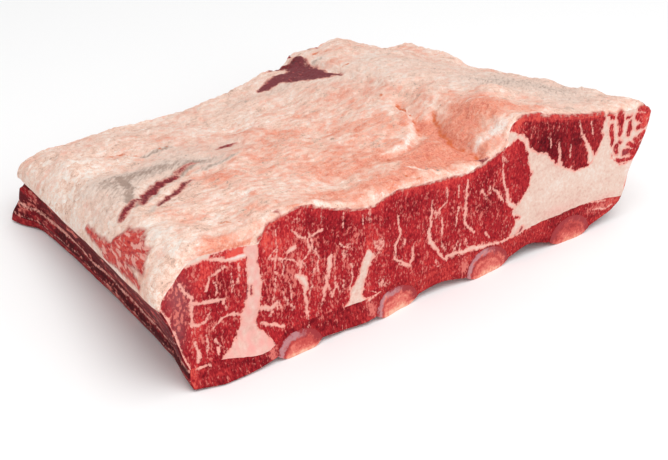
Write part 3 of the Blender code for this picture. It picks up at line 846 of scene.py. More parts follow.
def rib_finish():
    """Sawn bone. `fat` is the depth in from the rim; `fleck` is 1 on the outer skin, `stain` where the
    rim is clean."""
    finish, tree, shader = new_finish("sawn_bone")
    deep, skin, tone, clean = attributes(tree, "fat", "fleck", "tone", "stain")
    at = shader_step(tree, "TexCoord").outputs["Object"]
    in_mm = scaled(tree, at, (1000, 1000, 1000))
    pores = grain_noise(tree, in_mm, 0.9, 3.0, 0.65)
    cloud = grain_noise(tree, in_mm, 0.22, 2.0, 0.5)
    streaks = grain_noise(tree, scaled(tree, at, (1000, 120, 1000)), 0.6, 3.0, 0.6)
    sponge = ramp_of(tree, sum_of(tree, -0.42, (pores, 0.9), (cloud, 0.9), (tone, 0.35)), SPONGE_SHADES)
    rim = ramp_of(tree, sum_of(tree, -0.20, (cloud, 0.6), (deep, 0.15), (pores, 0.5)), RIM_SHADES)
    bare = soft_step(tree, sum_of(tree, clean, (pores, 0.6)), 0.45, 1.0)
    rim = blend_colours(tree, bare, SMEARED_MEAT, rim)
    off_rim = sum_of(tree, -4.35, (deep, 1.0), (pores, 3.2), (cloud, 5.5))
    cut = blend_colours(tree, soft_step(tree, off_rim, RIM - 0.9, RIM + 0.9), rim, sponge)
    off_edge = sum_of(tree, -3.95, (deep, 1.0), (pores, 3.4), (cloud, 4.5))
    cut = blend_colours(tree, soft_step(tree, off_edge, -0.3, 0.7), SMEARED_MEAT, cut)
    outer = ramp_of(tree, sum_of(tree, -0.1, (streaks, 0.8), (cloud, 0.4)), RIB_SKIN_SHADES)
    tree.links.new(blend_colours(tree, skin, cut, outer), shader.inputs["Base Color"])
    shader.inputs["Roughness"].default_value = 0.42
    shader.inputs["Specular IOR Level"].default_value = 0.15
    bump = shader_step(tree, "Bump", {"Height": pores, "Strength": 0.5, "Distance": 0.0005})
    tree.links.new(bump.outputs["Normal"], shader.inputs["Normal"])
    return finish


BONE = rib_finish()


def marks_of_rib(number, middle, width):
    """The marks of one rib: bare rim and sponge on its cut ends, and plain skin along it."""
    arc = LINES[f"rib_arc_{number}"][::3]

    def marks(place, height, points):
        if place == "skin":
            return {"fat": 0.0, "fleck": 1.0, "tone": 0.0, "stain": 0.0}
        x, z = points[:, 0], points[:, 2]
        deep = distance_to_line(x, z, arc) + 0.4 * lumps(np.column_stack([x, z]), 4, 44)
        rim = ease((middle - x) / width, -0.35, 0.15) * CLEAN_RIMS[number - 1]
        rim = rim * (0.8 + 0.4 * lumps(points, 5, 49))
        bands = lumps(np.column_stack([0.3 * x, deep]), (3, 1.5, 1), 50)
        tone = 0.8 * ease(deep, 4, 10) + SPONGE_TONES[number - 1]
        tone += 0.5 * bands - 1.5 * rim * np.exp(-(((deep - 3.0) / 0.9) ** 2))
        return {"fat": deep, "fleck": 0.0, "tone": tone + 0.9 * (1 - ease(z, 0.5, 2.5)), "stain": rim}

    return marks


for number, (x, width, height) in enumerate(RIBS, 1):
    half, flat = width / 2, width / 2 * RIB_FLAT
    floor = ((x - flat, RIB_FLOOR), (x, RIB_FLOOR), (x + flat, RIB_FLOOR))
    base = smooth_line(((x - half, RIB_SHOULDER), *floor, (x + half, RIB_SHOULDER)), SKIN_STEP)
    outline = np.vstack([base[:-1], LINES[f"rib_arc_{number}"][::-1][:-1]])
    marks = marks_of_rib(number, x, width)
    rib = layer(f"sawn_rib_{number}", outline, BONE, marks, row_step=1.4, proud=RIB_PROUD)
    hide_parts(f"rib_{number}")


# ---- The four muscles ------------------------------------------------------------------------------
# Lean beef cut across its fibres: the corner muscle at the left, the wide chuck muscle, the dark upper
# one and the streaky one at the right end. Their marbling is drawn as streaks of (x, z, width).
MUSCLE_SEAMS = {
    "corner_to_seam": ((13, 10), (18, 13), (22.5, 18), (24, 24), (26.5, 31), (27.8, 40), (28, 55)),
    "seam_to_main": (
        (38, 7.5), (36, 11.5), (32, 16), (31, 21), (33, 27), (33.9, 36), (33.2, 45), (33.5, 54),
    ),
    "tongue_left": ((73, 11), (76.5, 14.5), (78, 18.5), (81, 24), (83, 29), (85.5, 34)),
    "tongue_right": ((85.5, 34), (88.3, 31), (88, 27), (85.5, 22), (83.5, 16), (90, 11.8)),
    "main_to_end": (
        (162, 60), (166, 61), (170, 59), (172.5, 53), (173.5, 47), (175.8, 42), (174, 35),
        (168.5, 28.5), (166, 25), (168, 20), (167, 16.5), (165, 13.5),
    ),
    "upper_underside": (
        (161.5, 66.5), (166, 64.5), (172, 60.5), (175, 55), (180, 51), (187, 47), (191, 42), (198, 38),
        (204, 35.5), (211, 35), (217, 41.5), (219.5, 47), (219.5, 58),
    ),
    "end_muscle_side": (
        (223.5, 57), (223.5, 50), (226, 43), (227.5, 36), (231, 31.5), (236, 29.5), (243, 30.5),
    ),
    "fat_to_corner": ((-11, 40), (-9, 45), (-5, 49), (0, 54), (5, 57.3), (14, 57), (22, 56.2), (28, 55)),
    "fat_to_seam": ((28, 55), (33.5, 54)),
    "fat_to_main": (
        (33.5, 54), (36, 57.5), (41, 60.5), (47, 62.7), (54, 63.5), (62, 60.5), (70, 57), (80, 53.6),
        (90, 52.7), (98, 55.2), (110, 55), (125, 53.4), (140, 52.5), (150, 54.5), (158, 57.8), (162, 60),
    ),
    "fat_to_end": ((162, 60), (160.8, 63), (161.5, 66.5)),
    "fat_to_upper": (
        (161.5, 66.5), (164, 69.6), (168.5, 70.3), (176, 68.8), (186, 65.5), (196, 62.5), (208, 60),
        (219.5, 58),
    ),
    "fat_to_gap": ((219.5, 58), (223.5, 57)),
    "fat_to_end_muscle": ((223.5, 57), (232, 57), (242, 56), (248, 53.5), (251, 50)),
}
for name, points in MUSCLE_SEAMS.items():
    LINES[name] = wander(smooth_line(points, INNER_STEP), 0.22 if name.startswith("fat") else 0.4)

MARBLING_STREAKS = (
    # corner muscle
    ((9.1, 42.4, 0.9), (10.4, 45, 1.0), (11.4, 47.7, 0.9), (15.6, 48.5, 0.9), (18.7, 49.7, 0.6)),
    ((2.8, 39, 1.0), (6, 37, 1.4), (9.5, 36.5, 1.8), (14, 36, 1.5), (17, 34.9, 1.2), (17.5, 30.8, 0.6)),
    ((3.4, 40.7, 1.0), (2.8, 35.5, 1.2), (2.1, 29.6, 1.0), (2.4, 26, 0.8)),
    ((-1.6, 48.6, 0.8), (0.3, 44.1, 1.0), (3.4, 40.7, 1.0)),
    ((2.8, 28.5, 1.0), (5, 28, 1.2), (8.1, 28.4, 1.0), (10.7, 32.5, 0.6)),
    ((11.7, 24.3, 0.7), (15.7, 26.7, 1.1), (19.7, 27.4, 1.4), (23.5, 26.1, 1.2)),
    ((3.4, 21.2, 0.8), (4.5, 15.1, 1.6), (3.1, 11.7, 1.2)),
    ((-11, 41, 1.4), (-7.3, 33, 1.4), (-4.9, 26, 1.3), (-3.3, 17.5, 1.2), (-1, 10, 1.2)),
    ((13.5, 44, 0.5), (14.5, 41, 0.8), (13.5, 39, 0.4)),
    ((20.5, 46, 0.5), (21.5, 41, 0.8), (20.5, 37, 0.5)),
    ((24, 49, 0.5), (24.5, 44, 0.7), (23.5, 40, 0.4)),
    ((12, 19, 0.5), (13.5, 15, 0.9), (12.5, 12, 0.5)),
    ((8, 22, 0.5), (9, 18, 0.9), (8, 14, 0.5)),
    # left lobe of the chuck muscle
    ((32.7, 18.6, 1.4), (37.4, 15.1, 1.2), (43.1, 13.3, 1.0)),
    ((33, 25.3, 1.8), (37.8, 23.1, 2.0), (41.1, 25.1, 1.3), (41, 21.9, 1.0)),
    ((47.6, 46.5, 2.6), (49.8, 47, 2.2)),
    ((48.8, 55.5, 0.7), (51.9, 52.1, 0.9), (55.9, 48.5, 1.1), (60, 50.2, 1.0), (64.2, 50.4, 0.7)),
    ((55.9, 48.5, 1.1), (57.4, 43.3, 0.9), (53.1, 39.2, 0.9), (51.7, 34.1, 1.0)),
    ((42.1, 50, 0.7), (39.2, 47.1, 0.8), (38, 46, 0.8), (43.5, 44.1, 0.7), (49.1, 42.2, 0.9),
     (52.3, 37.9, 0.8)),
    ((43.9, 43.2, 1.0), (44.9, 38.9, 1.0), (44, 36.1, 0.7)),
    ((50.5, 33.7, 2.6), (53.7, 31, 3.2), (54.4, 27.5, 2.2), (54.7, 20.9, 1.2), (55.1, 14.1, 1.0),
     (54.4, 9, 0.8)),
    ((58.8, 34, 0.8), (57.9, 29.5, 0.7), (56.9, 23.4, 0.6)),
    ((47, 31, 0.5), (48, 27, 0.8), (47.5, 23, 0.5)),
    ((40, 36, 0.6), (40.5, 31, 0.9), (39.5, 27.5, 0.5)),
    ((60, 43, 0.5), (61, 38, 0.8), (60.5, 33, 0.5)),
    # middle of the chuck muscle
    ((66.5, 36.6, 2.4), (66.4, 32.1, 2.0), (65.5, 28.4, 1.5), (64.5, 23.8, 1.2), (63.6, 19.2, 1.0),
     (62.6, 16.3, 1.2)),
    ((69.3, 27, 0.8), (69.2, 22.1, 0.8), (67.8, 17.7, 0.8)),
    ((71.6, 41.6, 0.7), (74.2, 39.1, 0.8), (76.8, 38.3, 0.6)),
    ((77.6, 29.9, 0.7), (77.7, 22.4, 0.7), (77, 17.6, 0.6)),
    ((73.7, 55, 0.4), (73.8, 48, 0.5)),
    ((83.7, 51, 0.5), (83.7, 46.4, 0.5)),
    ((101.4, 44, 0.9), (102.9, 35.2, 1.1), (100.7, 30.1, 1.1), (99.9, 24.6, 1.3), (105.5, 20.1, 1.3),
     (108.3, 18.3, 1.3), (110, 25.3, 0.9)),
    ((105.4, 32.5, 0.6), (104.5, 29, 0.6)),
    ((109.6, 26, 0.8), (109.3, 20.3, 1.0), (107.5, 18.4, 1.1), (102.8, 20.9, 0.8)),
    # right of the chuck muscle
    ((119.3, 46, 0.6), (119.9, 41.7, 0.8), (119.1, 35.3, 1.1), (118.3, 31.5, 1.8), (119.2, 26.2, 2.2),
     (121.9, 22.3, 1.8), (125.3, 18.1, 1.4), (127.9, 13.8, 1.2)),
    ((127.5, 49, 0.6), (127.8, 42.5, 0.8), (123.8, 40.4, 0.8), (121.4, 37.1, 0.8)),
    ((125.2, 35.9, 1.0), (125.7, 27.4, 1.0)),
    ((133.8, 49, 0.6), (134.3, 43.7, 0.7)),
    ((135, 38.5, 0.7), (133.6, 32.3, 0.9), (133, 29.1, 0.8)),
    ((138.8, 50, 1.0), (138.7, 42.3, 1.3), (138, 36.8, 1.3), (137.9, 30.1, 1.3), (140.4, 26.7, 1.4),
     (143.5, 23.1, 0.9)),
    ((153.8, 41, 0.9), (156.4, 38.5, 1.2), (159.8, 33.3, 0.9)),
    ((151.4, 42.6, 0.7), (152.5, 38.9, 0.7)),
    ((159, 52.7, 0.7), (158.9, 46.1, 1.0), (160.9, 38.8, 1.5), (163.3, 33, 2.0), (166.1, 28.7, 2.6),
     (170.4, 25.6, 3.0)),
    ((127.9, 13.8, 1.2), (128.8, 15.8, 1.6), (136, 15.3, 2.0), (141, 15.2, 2.2), (148, 14.8, 2.0),
     (154.3, 13.6, 1.7)),
    # upper muscle
    ((204.1, 59.6, 0.6), (205.4, 54, 0.9), (209, 48.5, 1.4), (212.4, 42.1, 3.4), (214, 38, 5.0)),
    ((191.9, 52.6, 0.9), (193.0, 46, 1.6), (193.8, 40, 2.8), (194.3, 36, 4.6)),
    ((211.7, 57.9, 0.6), (213, 50.8, 0.7)),
    ((186, 57, 0.5), (187, 52, 0.6)),
    ((199, 50, 0.5), (200, 44, 0.6)),
)
# the fat over the corner muscle, and the red smear on it
CORNER_LIP = (
    ((2, 56, 3), (8, 57, 3.8), (12, 57.2, 5), (16, 56, 6), (21, 54.6, 7), (25, 53.8, 7.6),
     (29, 53.4, 7.8)),
)
CORNER_SMEAR = (((12, 55.6, 0.8), (18, 55.2, 2.0), (23, 54.8, 4.4), (27.5, 54.6, 5.6)),)
END_BLOBS = (  # the islands of lean in the streaky end muscle
    ((225.0, 52.0, 2.2), (225.5, 47.0, 2.9), (225.9, 42.0, 2.3)),
    ((230.2, 55.5, 4.0), (231.1, 51.2, 4.0), (231.2, 48.0, 3.0), (231.4, 45.6, 2.4)),
    ((231.7, 42.0, 2.5), (232.0, 41.8, 2.5)),
    ((229.3, 40.0, 3.0), (230.0, 36.8, 3.2)),
    ((237.5, 50.0, 2.4), (237.6, 46.8, 3.9), (237.2, 44.4, 3.0)),
    ((242.3, 51.8, 3.4), (246.5, 50.0, 4.6), (249.5, 51.5, 4.0)),
    ((243.0, 55.0, 2.2), (248.0, 54.0, 3.4)),
    ((243.3, 46.3, 3.0), (246.5, 46.2, 3.8), (249.0, 47.2, 3.4)),
    ((242.2, 40.8, 2.4), (244.6, 39.6, 3.8), (247.2, 41.5, 3.4)),
    ((237.8, 38.9, 2.2), (241.5, 37.4, 3.4), (245.5, 36.9, 2.8)),
    ((235.2, 35.4, 3.0), (237.8, 34.8, 3.0)),
    ((240.4, 33.6, 3.4), (244.0, 34.4, 3.6)),
    ((230.8, 32.2, 2.2), (234.5, 31.2, 2.2), (240.4, 30.9, 2.4), (243.2, 32.2, 2.2)),
    ((222.1, 57.2, 1.6), (224.1, 56.3, 2.2), (226.1, 55.7, 1.6)),
    ((235.0, 53.6, 1.6), (237.8, 53.2, 1.6)),
)
LEAN_TONES = (  # lighter and darker meat; this, OLD_SPOTS and FLECK_SPOTS as the spots of pools()
    (7, 50, 5, 7, 0.8), (25.5, 50, 3.5, 7, 1.2), (24, 54.5, 6, 3, 1.7), (36.5, 54, 3, 7, 1.0),
    (6, 25, 3, 5, 0.7), (42, 53, 6, 8, 0.8), (87, 37, 3, 4, 0.8), (166, 66.5, 4, 4, 1.3),
    (248, 49, 4, 8, 1.0), (70, 50, 12, 7, -0.5), (104, 48, 10, 8, -0.5), (152, 40, 9, 12, -0.45),
    (190, 53, 16, 9, -0.8), (114, 30, 8, 12, 0.2), (14, 40, 8, 6, -0.4), (14, 20, 6, 6, -0.3),
    (-3, 25, 3, 9, -0.7), (236, 35.2, 2.5, 2.0, -0.9),
)
# the height of the red meat's top, and of the upper muscle's brighter edge, as (x, z)
TOP_RED = ((40, 60), (54, 63), (70, 57), (90, 52), (98, 55), (125, 53), (150, 54), (160, 58), (162, 90))
UPPER_RED = ((163, 67), (170, 68), (176, 66.6), (208, 57.6), (219, 55.8))
OLD_SPOTS = (  # meat that the air has turned greyish purple
    (-3, 44.5, 5, 6.5, 0.75), (-3.5, 30, 3.5, 9, 0.6), (1.5, 37, 3, 4, 0.4), (236, 35.2, 2.5, 2, 0.5),
)
FLECK_SPOTS = (
    (47, 38, 11, 17, 0.6), (12, 32, 13, 22, 0.25), (70, 28, 18, 15, 0.35), (135, 28, 22, 14, 0.15),
    (168, 45, 6, 14, -0.45), (195, 50, 22, 12, -0.5), (75, 52, 14, 6, -0.25), (-4, 36, 5, 12, 0.5),
)
SEAM_EDGES = (  # where lean and fat meet on the cut face
    "corner_to_seam", "seam_to_main", "fat_to_corner", "fat_to_main", "main_to_end", "tongue_left",
    "tongue_right", "upper_underside", "end_muscle_side",
)


def off_lines(x, z, *names):
    """Distance on the cut face to the nearest of the lines with these names."""
    return np.min([distance_to_line(x, z, LINES[name][::2]) for name in names], axis=0)


def ragged_seam(at):
    """How far the fat reaches over a seam into the lean; below 0 the lean reaches into the fat."""
    return 1.2 * lumps(at, (2.4, 3.4, 1), 43) + 0.5 * lumps(at, (1.4, 2, 1), 47)


def lean_marks(place, height, points):
    """The marbling, tones, air-dried spots and flecks of the cut muscles, and their dried left side."""
    if place == "skin":
        marks = side_marks(height, points)
        right = points[:, 0] > 120
        marks["fat"] = np.where(right, 0.6 * lumps(points, (6, 20, 5), 17) - 0.1, marks["fat"])
        return marks
    x, z = points[:, 0], points[:, 2]
    if place == "far":
        x, z = from_far(x, z)
        x = x + 5 * lumps(points, 23, 18)
        z = z + 3 * lumps(points, 15, 19)
    at = np.column_stack([x, z])
    swayed_x, swayed_z = (at + 0.8 * drift(at, 4, 15)).T
    fat = depth_in(swayed_x, swayed_z, MARBLING_STREAKS) + 0.35 * lumps(at, (1.8, 3, 1), 45)
    upright = np.column_stack([x + 0.12 * (z - 30) + 1.5 * lumps(at, 9, 46), z])
    veins = 0.2 - 4.0 * np.abs(lumps(upright, (6, 20, 1), 61))
    veins -= 1.6 * ease(lumps(at, (7, 9, 1), 42), -0.4, 0.3)
    veins -= 1.5 * ease(x, 160, 168) + 1.2 * (1 - ease(x, 24, 32))
    fringe = ragged_seam(at) - off_lines(x, z, *SEAM_EDGES) - 3 * ease(z - follow(x, TOP_RED), -2, 0)
    smear = depth_in(swayed_x, swayed_z + 0.7 * lumps(at, (5, 1.2, 1), 62), CORNER_SMEAR)
    lip = np.minimum(depth_in(swayed_x, swayed_z, CORNER_LIP), -smear)
    fat = np.max([fat, veins, fringe, np.where(x < 30, lip, NONE)], axis=0)
    streaky = ease(x, 221, 222)
    fat = (1 - streaky) * fat - streaky * depth_in(swayed_x, swayed_z, END_BLOBS)
    above = z - follow(x, UPPER_RED) + 1.3 * lumps(at, (4, 3, 1), 24)
    red_edge = (1.25 - 0.7 * ease(x, 178, 203)) * ease(above, 0, 1.5)
    red_edge *= ease(x, 163, 168) * (1 - ease(x, 214, 220))
    red_edge += 0.6 * (1 - ease(off_lines(x, z, "fat_to_main"), 1.2, 4.5)) * ease(x, 40, 90)
    tone = pools(x, z, LEAN_TONES) + red_edge + 0.35 * lumps(at, (5, 14, 1), 20)
    fleck = 0.42 + pools(x, z, FLECK_SPOTS) - 0.6 * red_edge
    return {"fat": fat, "fleck": fleck, "tone": tone, "stain": pools(x, z, OLD_SPOTS)}


LEAN = flesh("lean", LEAN_SHADES)

for name, node, slot, tissue, row_step, edges in (
    ("corner_lean", "corner_muscle", "lean", LEAN, 0.7, (
        "rib_layer_corner", "corner_to_seam", "-fat_to_corner", "left_side")),
    ("chuck_lean", "chuck_muscle", "lean", LEAN, 0.95, (
        "rib_layer_main_left", "tongue_left", "tongue_right", "rib_layer_main_right",
        "-main_to_end", "-fat_to_main", "-seam_to_main")),
    ("upper_lean", "upper_muscle", "dark_lean", DARK_LEAN, 0.95, ("upper_underside", "-fat_to_upper")),
    ("end_lean", "end_muscle", "lean", LEAN, 0.95, (
        "end_muscle_side", "right_high", "-fat_to_end_muscle")),
):
    muscle = layer(name, loop(*edges), tissue, lean_marks, row_step)
    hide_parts(node)


# ---- The fat seams ---------------------------------------------------------------------------------
# Clean, hard fat between the muscles, cut smooth: the upright seam at the left, the short tongue in the
# chuck muscle, and the wide pale wedge at the right end, peach near its foot.
SEAM_TONES = ((200, 30, 30, 12, 0.3), (31, 30, 3, 20, 0.15), (225, 28, 12, 8, 0.25))
SEAM_LEAN = (  # lean that runs into the fat, as (x, z, width)
    ((84.5, 13.6, 3.6), (89, 12.4, 2.6)),
    ((241.5, 25.5, 0.8), (240.5, 21, 2.6), (239, 16.5, 2.0)),
    ((170.5, 13.2, 2.0), (172.5, 15.8, 1.2)),
    ((168, 22.5, 1.2), (170.5, 21.5, 0.6)),
    ((34.5, 30, 1.2), (34, 27, 1.6)),
    ((29.5, 36.5, 0.7), (29.5, 33, 0.9)),
)
SEAM_STAINS = (
    (196, 17.5, 11, 3, 0.32), (31.2, 37.5, 1.0, 1.3, 0.9), (26.6, 9.9, 1.4, 0.8, 0.8),
    (171.5, 14.8, 3.5, 1.5, 0.7), (32, 50, 3, 6, 0.12), (240, 27, 3, 8, 0.25), (226, 15, 8, 2, 0.3),
    (37, 9, 4, 3, 0.2),
)


def seam_marks(place, height, points):
    """Fat all through, with a few pink and peach spots; its right side is a little dry."""
    x, z = points[:, 0], points[:, 2]
    if place == "far":
        x, z = from_far(x, z)
    at = np.column_stack([x, z])
    # the low base tone is partly painted shade, darkening the fat under the strong light on the cut face
    tone = -0.05 + ease(x, 236, 239) + pools(x, z, SEAM_TONES) + 0.25 * lumps(at, (14, 9, 1), 21)
    left = 1 - ease(x, 30, 95)
    tone += 0.7 * left * lumps(at, (2.2, 3.2, 1), 56)
    stain = pools(x, z, SEAM_STAINS) + 0.1 * ease(lumps(at, 7, 22), 0.3, 1)
    stain += left * (0.55 + 0.6 * lumps(at, (2.6, 4, 1), 57))
    fat = 2.5
    if place != "skin":
        edge = 0.15 + off_lines(x, z, *SEAM_EDGES) + ragged_seam(at)
        fat = np.minimum(edge, -depth_in(x, z, SEAM_LEAN))
    return {"fat": fat, "fleck": 0.0, "tone": tone, "stain": np.clip(stain, 0, 1)}


SEAM_FAT = flesh("seam_fat", LEAN_SHADES)

for name, edges in (
    ("corner_seam", ("rib_layer_seam", "seam_to_main", "-fat_to_seam", "-corner_to_seam")),
    ("tongue_seam", ("rib_layer_tongue", "-tongue_right", "-tongue_left")),
    ("end_seam", (
        "rib_layer_end", "right_low", "-end_muscle_side", "-fat_to_gap", "-upper_underside",
        "-fat_to_end", "main_to_end")),
):
    seam = layer(name, loop(*edges), SEAM_FAT, seam_marks)
    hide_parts(f"{name}_fat")


# ---- The cover fat ---------------------------------------------------------------------------------
# The fat over the whole top, turned down over the left shoulder: creamy and flaky, salmon in the middle,
# grey and silvery at the left, with streaks and patches where the lean under it shows.
LEAN_ON_TOP = (  # streaks of lean in plan, as (x, y, width)
    ((15.1, 59.8, 2.4), (23, 71.5, 3.8), (29.6, 76.6, 4.6), (35.3, 79.9, 4.0), (43.5, 83.9, 2.4)),
    ((2.7, 55.9, 1.4), (5.8, 58.1, 2.4), (11.2, 63.2, 2.4), (17.5, 68.2, 1.4)),
    ((44.6, 85.9, 1.0), (51.9, 87.7, 0.8), (56.2, 88, 0.4)),
    ((73, 99, 0.6), (76.1, 100.4, 1.2), (82.9, 98.9, 1.0)),
    ((19.5, 55, 0.7), (24.5, 59.4, 1.5), (31, 63.5, 2.2), (38.5, 67.5, 1.9), (45, 71, 0.7)),
    ((146, 3, 1.4), (148.5, -0.5, 2.4)),
)
BRUISES = (  # brownish grey streaks beside them
    ((13, 48.4, 2.5), (22.5, 57.7, 3.0), (30.1, 62.9, 3.2), (38.5, 67.4, 3.0), (44.2, 70.4, 2.0)),
    ((50.3, 79.2, 1.5), (58.3, 80.5, 2.6), (68, 80.7, 2.4), (76, 83, 1.0)),
    ((15, 60, 5.0), (30, 77, 7.0), (44, 84, 5.0), (57, 89, 3.0)),
    ((3, 56, 4.0), (18, 68, 4.0)),
    ((20, 84, 3.0), (22, 95, 2.0)),
    ((44, 116.5, 2.0), (60, 119.5, 2.2)),
    ((12, 66, 3.0), (20, 80, 3.0)),
    ((147, 158, 4.0), (160, 150, 3.0), (166, 149, 1.5)),
)
HOLLOW = (  # the bruised hollow at the back
    ((132.4, 155.3, 2.5), (137, 155.8, 5), (143, 156, 7.5), (150, 153, 12), (153.5, 146, 14),
     (154, 138, 10.5), (155.5, 131, 5), (160, 124, 1.5)),
    ((150, 171, 4), (155, 168.5, 8), (159, 164, 9), (157, 157, 9), (155, 150, 9)),
)
SHOULDER_PATCH = (  # the lean that shows on the left shoulder, as (y, z, width)
    ((49, 43.5, 5), (43, 46.5, 8), (35, 49, 9.5), (27, 50.5, 9), (20, 51, 6), (15, 50, 3)),
    ((54, 37.5, 4), (45, 41, 6), (34, 43, 6), (22, 43.5, 4), (14, 44, 2)),
    ((78, 36.2, 1.8), (70, 37.3, 2.6), (60, 38.8, 2.8), (52, 40.5, 4)),
)
SALMON_SPOTS = (  # this and the next two as (x, y, reach in x, reach in y, amount)
    (138, 20, 16, 11, 0.95), (150, 40, 5, 14, 0.9), (160, 27, 8, 11, 0.65), (125, 9, 12, 8, 0.55),
    (147, 8, 7, 6, 0.8), (115, 24, 4, 3, 0.8), (102, 4, 7, 4, 0.6), (168, 45, 8, 10, 0.3),
    (133, 58, 14, 16, 0.25), (170, 15, 9, 8, 0.55), (75, 108, 18, 8, 0.3), (5, 110, 40, 50, -0.3),
    (0, 20, 12, 30, -0.3), (52, 66, 7, 14, 0.6), (88, 40, 18, 14, 0.35), (95, 8, 12, 8, 0.4),
    (110, 35, 20, 18, 0.35), (20, 1, 9, 5, 0.5), (95, 90, 25, 14, 0.35), (148, 100, 14, 14, 0.35),
    (200, 20, 12, 10, 0.2), (180, 8, 8, 5, 0.45), (70, 10, 14, 10, 0.35), (60, 130, 20, 16, 0.2),
    (80, 66, 30, 18, 0.2), (172, 28, 9, 12, 0.4),
)
GREY_SPOTS = (
    (16, 88, 12, 13, 0.9), (30, 94, 16, 9, 0.9), (46, 94, 16, 8, 0.8), (12, 70, 8, 12, 0.7),
    (62, 86, 12, 6, 0.8), (54, 112, 16, 12, 0.6), (78, 100, 14, 12, 0.6), (224, 36, 24, 24, 0.8),
    (202, 61, 20, 14, 0.6), (225, 75, 24, 30, 0.4), (0, 62, 6, 20, 0.3), (185, 110, 40, 40, 0.5),
    (150, 122, 16, 8, 0.2), (174, 38, 8, 3, 0.35), (140, 150, 16, 10, 0.3), (10, 130, 18, 30, 0.15),
    (60, 150, 50, 16, 0.25), (120, 150, 40, 20, 0.3), (4, 25, 8, 14, 0.3), (205, 12, 20, 10, 0.3),
)
CREAM_SPOTS = (
    (4, 25, 7, 12, 0.6), (158, 7, 7, 5, 0.9), (60, 25, 25, 14, 0.3), (134, 34, 10, 4, 0.6),
    (100, 0, 70, 3, 0.4), (165, 120, 20, 20, 0.2), (40, 35, 14, 10, 0.4), (90, 120, 20, 20, 0.2),
    (145, 48, 5, 7, 0.6),
)
RUST_LINES = (  # orange creases and spots, as (x, y, width)
    ((30, 133.6, 0.5), (39.6, 127.6, 1.5), (41.1, 122.2, 1.5), (44.6, 116.8, 0.6)),
    ((25.8, 19.7, 0.4), (29.3, 10.1, 0.8), (31.4, 8.9, 0.4)),
    ((154.5, 70, 2.4), (153, 64, 3.6), (152.5, 58.5, 2.4)),
    ((150.8, 53.5, 1.8), (150.5, 51.5, 2.0)),
    ((157.5, 47, 1.0), (156.1, 44, 1.6), (151.2, 33.8, 2.3), (148.7, 25.7, 2.0), (148.6, 17, 2.0),
     (149.5, 6, 1.4)),
    ((148, 46, 0.4), (143, 37.5, 0.8), (136, 31.5, 0.4)),
    ((110.3, 16.2, 0.5), (108.9, 9.4, 0.7), (110.6, 4.3, 0.6), (117.7, 0.1, 0.5)),
    ((173, 152.5, 2.4), (174, 152, 2.4)),
    ((167.5, 158, 1.8), (168.5, 157, 1.8)),
    ((166, 129, 1.6), (168, 128, 1.6)),
    ((155.3, 83.4, 1.6), (155.3, 82, 1.6)),
    ((48.5, 157.4, 1.6), (49, 156, 1.6)),
    ((114, 24.5, 2.2), (116, 23.5, 2.2)),
    ((54, 118.6, 1.0), (58.9, 119.7, 1.0)),
    ((96, 45, 1.0), (96, 44, 1.0)),
    ((100, 7.5, 1.2), (99, 8.5, 1.2)),
)
FOLD_HIGHLIGHTS = (  # painted highlight: pale lines along the ridges of the folds beside the creases
    ((153.5, 62, 1.5), (147.3, 50, 2.4), (140.3, 39.8, 2.2), (129.4, 31.2, 2.0), (119, 32.4, 1.6)),
    ((152, 9.5, 3), (156.6, 8, 5), (159.5, 4.5, 4)),
    ((115, 12.4, 1.2), (119.5, 5.9, 1.2), (123.3, 2.1, 1.2)),
    ((165.5, 33, 0.8), (170.1, 31.8, 1.2), (178.7, 27, 0.8)),
)
RED_SMEARS = (((34.5, 56, 1.2), (38, 59.7, 2.4), (44, 62.4, 1.6)),)  # on the near cut, as (x, z, width)
RED_DOTS = ((155, 168, 8, 5, 1.0), (148, 171, 5, 4, 1.0))  # bright lean in the hollow
SALMON_LIP = ((14, 57.4, 12, 1.6, 0.55), (25, 56.2, 6, 1.5, 0.5))  # on the near cut, as (x, z, ...)
OVER_THE_CUT = (
    "fat_to_corner", "fat_to_seam", "fat_to_main", "fat_to_end", "fat_to_upper", "fat_to_gap",
    "fat_to_end_muscle",
)
SLANT = np.array(((0.8, 0.6), (-0.6, 0.8)))  # turns the plan to the way the fat is brushed


def cover_softness(x, z):
    """The edge over the near cut is slumped, and most of all on the left shoulder."""
    at = np.column_stack([x, z])
    return 2.4 + 2.4 * (1 - ease(x, 2, 26)) + 0.5 * lumps(at, 6, 37)


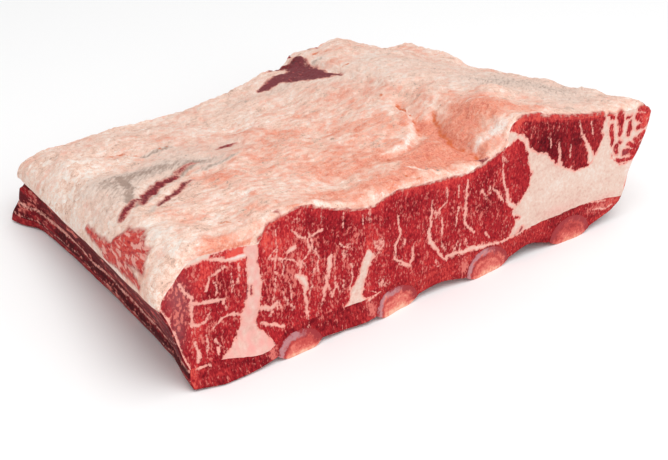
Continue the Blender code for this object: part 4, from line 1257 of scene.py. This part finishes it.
def cover_marks(place, height, points):
    """All that shows on the cover fat: bare lean and bruises, salmon, grey and cream, rusty cracks."""
    x, y, z = points.T
    cut = place != "skin"
    crest = np.interp(x, CREST[:, 0], CREST[:, 1])
    if cut:
        y = y - np.maximum(crest - z, 0)
    plan = np.column_stack([x, y])
    sway = plan + 1.1 * drift(plan, 6, 24)
    sway += 0.7 * drift(plan, 2.4, 51)
    below_crest = crest - z + (0 if cut else 0.6 * (1.6 - y)) + 0.9 * lumps(points, 3.5, 26)
    upper_rim = np.minimum(below_crest - 0.9, np.minimum(x - 166, 219.5 - x))
    at_end = depth_in(x + 0.7 * lumps(points, 4, 15), z - 0.6, END_BLOBS)
    end_rim = np.where(x > 220.5, np.minimum(below_crest - 0.3, at_end), NONE)
    smear = depth_in(x + 2 * lumps(points, 3, 53), z + 0.8 * lumps(points, 4, 48), RED_SMEARS)
    near_rim = np.max([upper_rim, end_rim, smear], axis=0)
    if place == "near":
        off_edge = off_lines(x, z, *OVER_THE_CUT)
        torn = lumps(points, (2.2, 9, 1.6), 71) + 0.8 * lumps(points, (7, 9, 4), 72)
        near_rim = np.maximum(near_rim, np.where((x > 36) & (x < 160), 0.35 + torn - off_edge, NONE))
    near_rim = np.where((y < 4) & (place != "far"), near_rim, NONE)
    streaks = np.maximum(depth_in(*sway.T, LEAN_ON_TOP), depth_in(*sway.T, HOLLOW))
    patch = depth_in(y + 2 * lumps(points, 7, 39), z + 0.8 * lumps(points, 4, 27), SHOULDER_PATCH)
    patch = np.where(x < 4, patch, NONE)
    lean = np.max([streaks, near_rim, patch], axis=0)
    hollow = ease(depth_in(x, y, HOLLOW), -2, 0)
    reddish = pools(x, y, RED_DOTS)
    bruise = ease(depth_in(*sway.T, BRUISES), -1.5, 1.2)
    # painted highlight along the ridges of the folds
    fold_highlight = ease(depth_in(*sway.T, FOLD_HIGHLIGHTS), -1.0, 0.7)
    dull = pools(x, y, GREY_SPOTS) + bruise
    smooth = 0.45 * lumps(plan, 22, 28) + 0.35 * lumps(plan @ SLANT, (5, 10, 1), 29)
    # the fold ridges get a lighter tone as painted highlight, and less salmon below
    tone = smooth + pools(x, y, CREAM_SPOTS) + 0.1 * ease(y, 60, 150) + 0.9 * fold_highlight
    crack = cracks(x, y)
    salmon = pools(x, y, SALMON_SPOTS) + 0.34 * ease(lumps(plan, (13, 9, 1), 30), -0.2, 0.8)
    salmon += 0.25 * crack
    salmon += 0.35 * lumps(plan, (4, 3, 1), 54)
    salmon = np.minimum(salmon, 0.85) * (1 - 0.7 * ease(dull, 0.3, 0.9)) * (1 - 0.8 * fold_highlight)
    if place == "near":
        tone = tone + 0.4 * (1 - ease(off_edge, 0.7, 1.6))
        dull = 0 * dull
    salmon = salmon + np.where(y < 4, pools(x, z, SALMON_LIP), 0)
    red = ease(lean, -0.8, 0.5)
    on_top = -0.5 - 1.1 * hollow + 1.2 * reddish
    shade = np.where(patch >= lean, 1.3, np.where(near_rim >= lean, 1.1, on_top))
    tone = tone * (1 - red) + red * shade
    rust = ease(depth_in(*sway.T, RUST_LINES) - 0.3 + 1.2 * lumps(plan, 2.3, 68), -0.9, 0.5)
    rust += 0.5 * crack * pools(x, y, CRACKED[:2])
    old = 0.58 * hollow * (1 - np.clip(reddish, 0, 1)) + 0.3 * (1 - hollow)
    return {
        "fat": -lean, "fleck": rust * (1 - red), "tone": tone, "dull": dull * (1 - red),
        "stain": salmon * (1 - red) + red * np.where(streaks >= lean, old, 0),
        "strand": np.where(patch >= lean, 1.0, 0.0),
    }


COVER_FAT = flesh("cover_fat", DARK_LEAN_SHADES, skin=True)

cover_outline = loop(*OVER_THE_CUT, "-top")
cover = layer("cover_fat", cover_outline, COVER_FAT, cover_marks, softness=cover_softness)
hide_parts("fat_cap")
